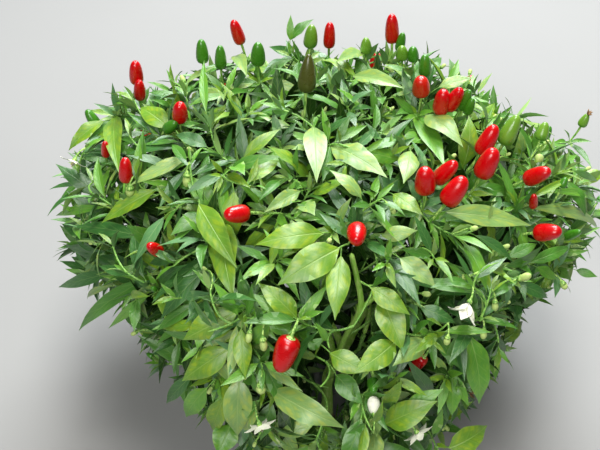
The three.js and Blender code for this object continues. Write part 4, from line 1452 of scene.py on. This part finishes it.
def skin_group():
    """A pod's skin: a little darker at its shoulders, faintly mottled, with a small scar at its tip."""
    group = new_group(
        "Pod skin",
        (
            ("Surface", "vector", None), ("Skin", "colour", (0.7, 0.01, 0.01, 1)),
            ("Shoulder", "colour", (0.5, 0.01, 0.01, 1)), ("Scar", "colour", (0.03, 0.01, 0.005, 1)),
        ),
        (("Color", "colour"), ("Roughness", "value"), ("Height", "value")),
    )
    n = Nodes(group)
    given = n.add("NodeGroupInput")
    along = n.add("ShaderNodeSeparateXYZ", {0: given.outputs["Surface"]}).outputs[0]
    place = n.add("ShaderNodeTexCoord").outputs["Object"]
    mottle = n.ramp(n.noise(place, 180.0, 3.0), 0.3, 0.75)
    edge = n.plus(along, n.times(mottle, 0.22))
    colour = n.mix(n.ramp(edge, 0.12, 0.5), given.outputs["Shoulder"], given.outputs["Skin"])
    colour = n.mix(n.ramp(along, 0.93, 0.985), colour, given.outputs["Scar"])
    rough = n.math("MULTIPLY_ADD", mottle, 0.1, 0.24)
    rough = n.plus(rough, n.times(n.ramp(along, 0.93, 0.98), 0.4))
    height = n.plus(n.noise(place, 140.0, 2.0), n.times(n.noise(place, 520.0, 2.0), 0.25))
    n.add("NodeGroupOutput", {"Color": colour, "Roughness": rough, "Height": height})
    return group


def stem_group():
    """Green stem: pale ribs and flecks along it, greyer and barkier towards the ground."""
    group = new_group(
        "Green stem",
        (
            ("Stem", "colour", (0.2, 0.35, 0.1, 1)), ("Rib", "colour", (0.35, 0.5, 0.2, 1)),
            ("Bark", "colour", (0.3, 0.24, 0.14, 1)), ("Bark height", "value", 0.03),
        ),
        (("Color", "colour"), ("Roughness", "value"), ("Height", "value")),
    )
    n = Nodes(group)
    given = n.add("NodeGroupInput")
    place = n.add("ShaderNodeTexCoord").outputs["Object"]
    squashed = n.add("ShaderNodeMapping", {"Vector": place, "Scale": (1.0, 1.0, 0.16)}).outputs[0]
    streaks = n.noise(squashed, 900.0, 3.0)
    flecks = n.ramp(n.noise(place, 520.0, 2.0), 0.64, 0.72)
    colour = n.mix(n.ramp(streaks, 0.42, 0.66), given.outputs["Stem"], given.outputs["Rib"])
    colour = n.mix(n.times(flecks, 0.5), colour, given.outputs["Rib"])
    height = n.add("ShaderNodeSeparateXYZ", {0: place}).outputs[2]
    uneven = n.math("MULTIPLY_ADD", streaks, given.outputs["Bark height"], height)
    top = n.times(given.outputs["Bark height"], 1.6)
    woody = n.rest(n.ramp(uneven, given.outputs["Bark height"], top))
    colour = n.mix(woody, colour, given.outputs["Bark"])
    rough = n.math("MULTIPLY_ADD", woody, 0.3, 0.48)
    n.add("NodeGroupOutput", {"Color": colour, "Roughness": rough, "Height": streaks})
    return group


def new_material(name, bump, distance, coat=0.0):
    """An empty material with a Principled BSDF whose Normal comes from a Bump node."""
    material = bpy.data.materials.new(name)
    material.use_nodes = True
    nodes = material.node_tree.nodes
    shader = nodes["Principled BSDF"]
    shader.inputs["Coat Weight"].default_value = coat
    shader.inputs["Coat Roughness"].default_value = 0.16
    relief = nodes.new("ShaderNodeBump")
    relief.inputs["Strength"].default_value = bump
    relief.inputs["Distance"].default_value = distance
    material.node_tree.links.new(relief.outputs[0], shader.inputs["Normal"])
    return material, shader, relief


def finish(material, shader, relief, colour, roughness, height):
    """Links what a surface's nodes put out to its shader and its relief."""
    links = material.node_tree.links
    links.new(colour, shader.inputs["Base Color"])
    links.new(roughness, shader.inputs["Roughness"])
    links.new(height, relief.inputs["Height"])
    return material


def grouped(material, shader, relief, title, make_group, values):
    """Places a node group in a material with its own values. The group is made for the first one."""
    tree = material.node_tree
    node = tree.nodes.new("ShaderNodeGroup")
    node.node_tree = bpy.data.node_groups.get(title) or make_group()
    node.location = (-600, 0)
    for name, value in values.items():
        node.inputs[name].default_value = value
    for name in ("Atlas", "Surface"):
        if name in node.inputs:
            layer = tree.nodes.new("ShaderNodeUVMap")
            layer.uv_map = "surface"
            tree.links.new(layer.outputs[0], node.inputs[name])
    out = node.outputs
    return finish(material, shader, relief, out["Color"], out["Roughness"], out["Height"])


def linear(colour, shade=1.0):
    """A display colour as scene light, with alpha."""
    values = [c / 12.92 if c <= 0.04045 else ((c + 0.055) / 1.055) ** 2.4 for c in colour]
    return (*[value * shade for value in values], 1.0)


def leaf_material(name, blade, vein, patch, patches, raised, shine, gloss):
    material, shader, relief = new_material(f"leaf_{name}", bump=0.38, distance=0.0006)
    shader.inputs["Specular IOR Level"].default_value = gloss
    values = {"Blade": blade, "Vein": vein, "Patch": patch, "Patches": patches}
    values |= {"Raised": raised, "Shine": shine}
    return grouped(material, shader, relief, "Leaf blade", blade_group, values)


def pod_material(name, skin, shoulder):
    values = {"Skin": skin, "Shoulder": shoulder, "Scar": (0.02, 0.008, 0.004, 1)}
    made = new_material(name, bump=0.16, distance=0.0005, coat=0.22)
    return grouped(*made, "Pod skin", skin_group, values)


def stem_material(name, stem, rib, bark, bark_height):
    values = {"Stem": stem, "Rib": rib, "Bark": bark, "Bark height": bark_height}
    return grouped(*new_material(name, bump=0.4, distance=0.0004), "Green stem", stem_group, values)


def soft_material(name, colour, other, scale, roughness):
    """A thin soft tissue whose colour drifts between two: petals, anthers and withered flowers."""
    material, shader, relief = new_material(name, bump=0.3, distance=0.0003)
    n = Nodes(material.node_tree)
    place = n.add("ShaderNodeTexCoord").outputs["Object"]
    drift = n.noise(place, scale, 3.0)
    tone = n.mix(n.ramp(drift, 0.35, 0.65), colour, other)
    return finish(material, shader, relief, tone, n.math("MULTIPLY_ADD", drift, 0.15, roughness), drift)


def length_property(name, description, default, smallest=0.0005, largest=0.5):
    return FloatProperty(
        name=name, description=description, default=default, min=smallest, max=largest, subtype="DISTANCE",
        unit="LENGTH", precision=4,
    )


def share_property(name, description, default, smallest, largest):
    return FloatProperty(
        name=name, description=description, default=default, min=smallest, max=largest, subtype="FACTOR"
    )


def power_property(name, description, default):
    return FloatProperty(
        name=name, description=description, default=default, min=0.0, max=500.0, unit="POWER"
    )


def colour_property(name, description, default):
    return FloatVectorProperty(
        name=name, description=description, default=default, size=3, min=0.0, max=1.0, subtype="COLOR_GAMMA"
    )


class ChilliLeafSettings(bpy.types.PropertyGroup):
    """Sizes and colours of the leaves."""

    broad_length: length_property("Broad leaf length", "Length of an old broad leaf's blade", 0.044)
    broad_width: length_property("Broad leaf width", "Width of an old broad leaf's blade", 0.0175)
    long_length: length_property("Long leaf length", "Length of a long narrow leaf's blade", 0.05)
    long_width: length_property("Long leaf width", "Width of a long narrow leaf's blade", 0.012)
    small_length: length_property("Tip leaf length", "Length of a leaf at a shoot's tip", 0.026)
    small_width: length_property("Tip leaf width", "Width of a leaf at a shoot's tip", 0.0072)
    lime: colour_property("Lime", "Old leaves that have turned yellow-green", (0.39, 0.58, 0.13))
    fresh: colour_property("Fresh", "Bright green leaves", (0.34, 0.59, 0.16))
    mid: colour_property("Mid", "Full green leaves", (0.26, 0.5, 0.14))
    deep: colour_property("Deep", "Dark green leaves", (0.18, 0.4, 0.15))
    bluish: colour_property("Bluish", "Cool green leaves at the shoots' tips", (0.3, 0.51, 0.3))
    # Pale is partly the real paleness of old leaves and partly painted light: a whitish sheen, and brightness
    # for leaves that stand in shadow.
    pale: colour_property("Pale", "Pale old leaves", (0.47, 0.63, 0.33))
    # The shaded tint is painted shade: a dark colour for leaves deep in the crown, where shadow falls.
    shaded: colour_property("Shaded", "Leaves further in, out of the light", (0.1, 0.25, 0.05))
    underside: colour_property("Underside", "Lower faces of green leaves", (0.42, 0.6, 0.36))
    pale_underside: colour_property("Pale underside", "Lower faces of yellowed leaves", (0.56, 0.72, 0.4))


class ChilliStemSettings(bpy.types.PropertyGroup):
    """Colours and relief of the stems."""

    stem: colour_property("Stem", "Main stem, boughs and branches", (0.62, 0.86, 0.32))
    rib: colour_property("Rib", "Pale ribs and flecks along the stems", (0.78, 0.92, 0.5))
    bark: colour_property("Bark", "The stem's woody foot", (0.46, 0.4, 0.28))
    twig: colour_property("Twig", "Shoots and leaf stalks", (0.4, 0.62, 0.24))
    bark_height: length_property("Bark height", "How far up from the ground the stem is woody", 0.02)
    relief: share_property("Relief", "Height of the stem's ribs as a share of its radius", 0.055, 0.0, 0.3)


class ChilliFruitSettings(bpy.types.PropertyGroup):
    """Sizes and colours of pods and flowers."""

    pod_length: share_property("Pod length", "Length of each pod, as a share of its own", 1.0, 0.3, 2.0)
    pod_radius: share_property("Pod radius", "Radius of each pod, as a share of its own", 1.0, 0.3, 2.0)
    ripe: colour_property("Ripe", "Skin of ripe pods", (0.76, 0.0, 0.025))
    turning: colour_property("Turning", "Skin of a pod that is not quite ripe", (0.76, 0.12, 0.05))
    green: colour_property("Green", "Skin of green pods", (0.25, 0.5, 0.11))
    olive: colour_property("Olive", "Skin of a pod that starts to turn", (0.28, 0.3, 0.1))
    young: colour_property("Young", "Skin of light green pods", (0.42, 0.6, 0.18))
    petal: colour_property("Petal", "Flowers' petals", (0.95, 0.955, 0.88))
    bud: colour_property("Bud", "Closed buds", (0.68, 0.77, 0.44))


class ChilliStageSettings(bpy.types.PropertyGroup):
    """The floor, lights and camera."""

    floor: colour_property("Floor", "Colour of the floor", (0.6, 0.6, 0.595))
    floor_size: length_property("Floor size", "Side of the floor", 6.0, 1.0, 50.0)
    sky: FloatProperty(name="Sky", description="Strength of the even light", default=0.105, min=0.0, max=10.0)
    key: power_property("Key light", "Power of the main soft light", 20.5)
    back: power_property("Back light", "Power of the soft light from behind", 62.0)
    front: power_property("Front light", "Power of the soft light from the front", 14.0)
    lens: FloatProperty(
        name="Lens", description="Focal length in millimetres", default=LENS, min=10.0, max=200.0
    )


TWIG_BARK_HEIGHT = 0.001


def plant_of(context):
    return grow_plant(leaf_sizes(context.scene))


class ChilliStems(bpy.types.Operator):
    """Make the main stem, the boughs and the branches with their bark's relief"""

    bl_idname = "chilli.stems"
    bl_label = "Stem and boughs"

    def execute(self, context):
        limbs, _, _, _ = plant_of(context)
        look = context.scene.chilli_stems
        sheets = build_limbs(limbs, look.relief)
        material = stem_material(
            "stem_bark", linear(look.stem), linear(look.rib), linear(look.bark), look.bark_height
        )
        replaced = [limb.name for limb in limbs if limb.name != "shown_bough"]
        make_piece("stem_and_boughs", sheets, [material], replaced)
        return {"FINISHED"}


class ChilliTwigs(bpy.types.Operator):
    """Make the shoots and the leaf stalks"""

    bl_idname = "chilli.twigs"
    bl_label = "Shoots and leaf stalks"

    def execute(self, context):
        _, masses, leaves, _ = plant_of(context)
        look = context.scene.chilli_stems
        rib = [(a + b) / 2 for a, b in zip(look.twig, look.rib)]
        material = stem_material(
            "green_twig", linear(look.twig), linear(rib), linear(look.bark), TWIG_BARK_HEIGHT
        )
        make_piece("twigs", build_twigs(masses, leaves), [material])
        return {"FINISHED"}


# How the colours of a leaf's yellowed patches and veins come from its blade's, and how patchy each tint is.
PATCH_GAIN = (1.36, 1.12, 0.85)
PATCH_LIFT = (0.03, 0.02, 0.0)
# The veins' colour also paints a highlight along each blade's rim.
VEIN_GAIN = 0.62
VEIN_LIFT = (0.3, 0.32, 0.18)
PATCHES = {"lime": 1.0, "pale": 0.75, "fresh": 0.65, "mid": 0.35}
FEW_PATCHES = 0.2


class ChilliLeaves(bpy.types.Operator):
    """Make every leaf, joined by the ring of masses that it grows in"""

    bl_idname = "chilli.leaves"
    bl_label = "Leaves"

    def execute(self, context):
        _, masses, leaves, _ = plant_of(context)
        look = context.scene.chilli_leaves
        materials = []
        for name in TINTS:
            colour = getattr(look, name)
            below = "underside" in name
            patch = [min(1.0, c * k + o) for c, k, o in zip(colour, PATCH_GAIN, PATCH_LIFT)]
            vein = [min(1.0, c * VEIN_GAIN + o) for c, o in zip(colour, VEIN_LIFT)]
            amount = PATCHES.get(name, FEW_PATCHES)
            # The shaded tint is painted shade, and it also gets a weaker reflection.
            materials.append(leaf_material(
                name, linear(colour), linear(vein), linear(patch), amount, -0.7 if below else 1.0,
                0.6 if below else 0.4, 0.25 if name == "shaded" else 0.78,
            ))
        for part in sorted({part_of(mass) for mass in masses}):
            own = [leaf for leaf in leaves if leaf["part"] == part]
            sheets = Sheets()
            for kind in LEAF_KINDS:
                some = [leaf for leaf in own if leaf["kind"] == kind]
                if some:
                    add_blades(sheets, some, kind)
            nodes = [f"foliage_{mass['name']}" for mass in masses if part_of(mass) == part]
            make_piece(f"leaves_{part}", sheets, materials, nodes)
        return {"FINISHED"}


# Skins of pods, two for ripe ones and three for green ones: name, and the shoulder's colour and shade.
POD_SKINS = (
    ("ripe", "ripe", 0.72), ("turning", "ripe", 0.7), ("green", "green", 0.7), ("olive", "olive", 0.7),
    ("young", "green", 0.8),
)


class ChilliPods(bpy.types.Operator):
    """Make the ripe and green pods with their calyces and stalks"""

    bl_idname = "chilli.pods"
    bl_label = "Pods"

    def execute(self, context):
        _, _, _, pieces = plant_of(context)
        look = context.scene.chilli_fruit
        ripe, green, holders = build_fruit(pieces, look)
        skins = [
            pod_material(f"pod_{name}", linear(getattr(look, name)), linear(getattr(look, shoulder), shade))
            for name, shoulder, shade in POD_SKINS
        ]
        make_piece("ripe_pods", ripe, skins[:2])
        make_piece("green_pods", green, skins[2:])
        stems = context.scene.chilli_stems
        stalk = (linear(stems.rib), linear(stems.bark), TWIG_BARK_HEIGHT)
        holder = stem_material("calyx_green", linear(stems.twig, 0.9), *stalk)
        make_piece("calyces_and_stalks", holders, [holder])
        return {"FINISHED"}


class ChilliFlowers(bpy.types.Operator):
    """Make the open flowers, the buds and the withered flowers"""

    bl_idname = "chilli.flowers"
    bl_label = "Flowers and buds"

    def execute(self, context):
        _, _, _, pieces = plant_of(context)
        look = context.scene.chilli_fruit
        stems = context.scene.chilli_stems
        petal = soft_material("petal_white", linear(look.petal), linear(look.petal, 0.86), 160.0, 0.45)
        stalk = (linear(stems.rib), linear(stems.bark), TWIG_BARK_HEIGHT)
        holder = stem_material("flower_stalk", linear(stems.twig), *stalk)
        anther = soft_material("anther", (0.55, 0.5, 0.2, 1), (0.3, 0.34, 0.3, 1), 400.0, 0.6)
        dry = soft_material("withered_petal", (0.3, 0.17, 0.07, 1), (0.14, 0.08, 0.04, 1), 500.0, 0.75)
        bud = soft_material("bud_cream", linear(look.bud), linear(look.bud, 1.25), 260.0, 0.45)
        flowers = build_flowers(pieces, look.pod_length)
        make_piece("flowers_and_buds", flowers, [petal, holder, anther, dry, bud])
        return {"FINISHED"}


# The soft lights: name, place and width in metres, and colour. All of them face the plant's middle.
AREA_LIGHTS = (
    ("key", (0.05, 0.1, 1.75), 0.6, (1.0, 0.98, 0.94)),
    ("back", (0.25, 1.35, 1.5), 1.1, (0.95, 0.98, 1.0)),
    ("front", (-0.3, -1.05, 1.2), 0.7, (1.0, 0.99, 0.97)),
)
LIT_MIDDLE = np.array([0.0, 0.05, 0.15])


def add_area_light(name, place, power, size, colour):
    light = bpy.data.lights.new(name, "AREA")
    light.energy = power
    light.size = size
    light.color = colour
    lamp = bpy.data.objects.new(name, light)
    bpy.context.collection.objects.link(lamp)
    lamp.location = place
    aim(lamp, LIT_MIDDLE - np.array(place))


def aim(thing, way):
    """Turns a light or camera, which looks down its own -Z, along a way with its top up."""
    back = unit(-np.asarray(way, float))
    right = unit(np.cross(UP, back)) if abs(back[2]) < 0.999 else np.array([1.0, 0, 0])
    top = np.cross(back, right)
    thing.rotation_mode = "QUATERNION"
    thing.rotation_quaternion = Matrix(np.stack([right, top, back], axis=1).tolist()).to_quaternion()


class ChilliStage(bpy.types.Operator):
    """Make the floor, the soft lights and the camera"""

    bl_idname = "chilli.stage"
    bl_label = "Floor, lights and camera"

    def execute(self, context):
        scene = context.scene
        look = scene.chilli_stage
        half = look.floor_size / 2
        mesh = bpy.data.meshes.new("floor")
        corners = [(-half, -half, 0), (half, -half, 0), (half, half, 0), (-half, half, 0)]
        mesh.from_pydata(corners, [], [(0, 1, 2, 3)])
        floor = bpy.data.objects.new("floor", mesh)
        context.collection.objects.link(floor)
        shaded = linear(look.floor, 0.97)
        mesh.materials.append(soft_material("floor_plain", linear(look.floor), shaded, 3.0, 0.7))
        world = bpy.data.worlds.new("soft_sky")
        world.use_nodes = True
        sky = world.node_tree.nodes["Background"]
        sky.inputs["Color"].default_value = (0.93, 0.96, 1.0, 1.0)
        sky.inputs["Strength"].default_value = look.sky
        scene.world = world
        for name, place, size, colour in AREA_LIGHTS:
            add_area_light(f"{name}_light", place, getattr(look, name), size, colour)
        lens = bpy.data.cameras.new("camera")
        lens.lens = look.lens
        lens.sensor_width = SENSOR
        lens.clip_start = 0.01
        camera = bpy.data.objects.new("camera", lens)
        context.collection.objects.link(camera)
        camera.location = EYE * MM
        aim(camera, -EYE_BACK)
        scene.camera = camera
        scene.view_settings.view_transform = "Standard"
        return {"FINISHED"}


class ChilliPanel(bpy.types.Panel):
    """Lists the plant's pieces and their settings"""

    bl_idname = "CHILLI_PT_plant"
    bl_label = "Chilli plant"
    bl_space_type = "VIEW_3D"
    bl_region_type = "UI"
    bl_category = "Chilli plant"

    def draw(self, context):
        layout = self.layout
        for settings, operators in PANEL_ROWS:
            box = layout.box()
            group = getattr(context.scene, settings)
            for name in group.__annotations__:
                box.prop(group, name)
            for operator in operators:
                box.operator(operator)


PANEL_ROWS = (
    ("chilli_stems", ("chilli.stems", "chilli.twigs")),
    ("chilli_leaves", ("chilli.leaves",)),
    ("chilli_fruit", ("chilli.pods", "chilli.flowers")),
    ("chilli_stage", ("chilli.stage",)),
)
SETTINGS = {
    "chilli_leaves": ChilliLeafSettings,
    "chilli_stems": ChilliStemSettings,
    "chilli_fruit": ChilliFruitSettings,
    "chilli_stage": ChilliStageSettings,
}
OPERATORS = (ChilliStems, ChilliTwigs, ChilliLeaves, ChilliPods, ChilliFlowers, ChilliStage)


def register():
    for cls in (*SETTINGS.values(), *OPERATORS, ChilliPanel):
        bpy.utils.register_class(cls)
    for name, cls in SETTINGS.items():
        setattr(bpy.types.Scene, name, PointerProperty(type=cls))


def unregister():
    for name in SETTINGS:
        delattr(bpy.types.Scene, name)
    for cls in reversed((*SETTINGS.values(), *OPERATORS, ChilliPanel)):
        bpy.utils.unregister_class(cls)


def main():
    register()
    bpy.ops.chilli.stems()
    bpy.ops.chilli.twigs()
    bpy.ops.chilli.leaves()
    bpy.ops.chilli.pods()
    bpy.ops.chilli.flowers()
    bpy.ops.chilli.stage()


if __name__ == "__main__":
    main()
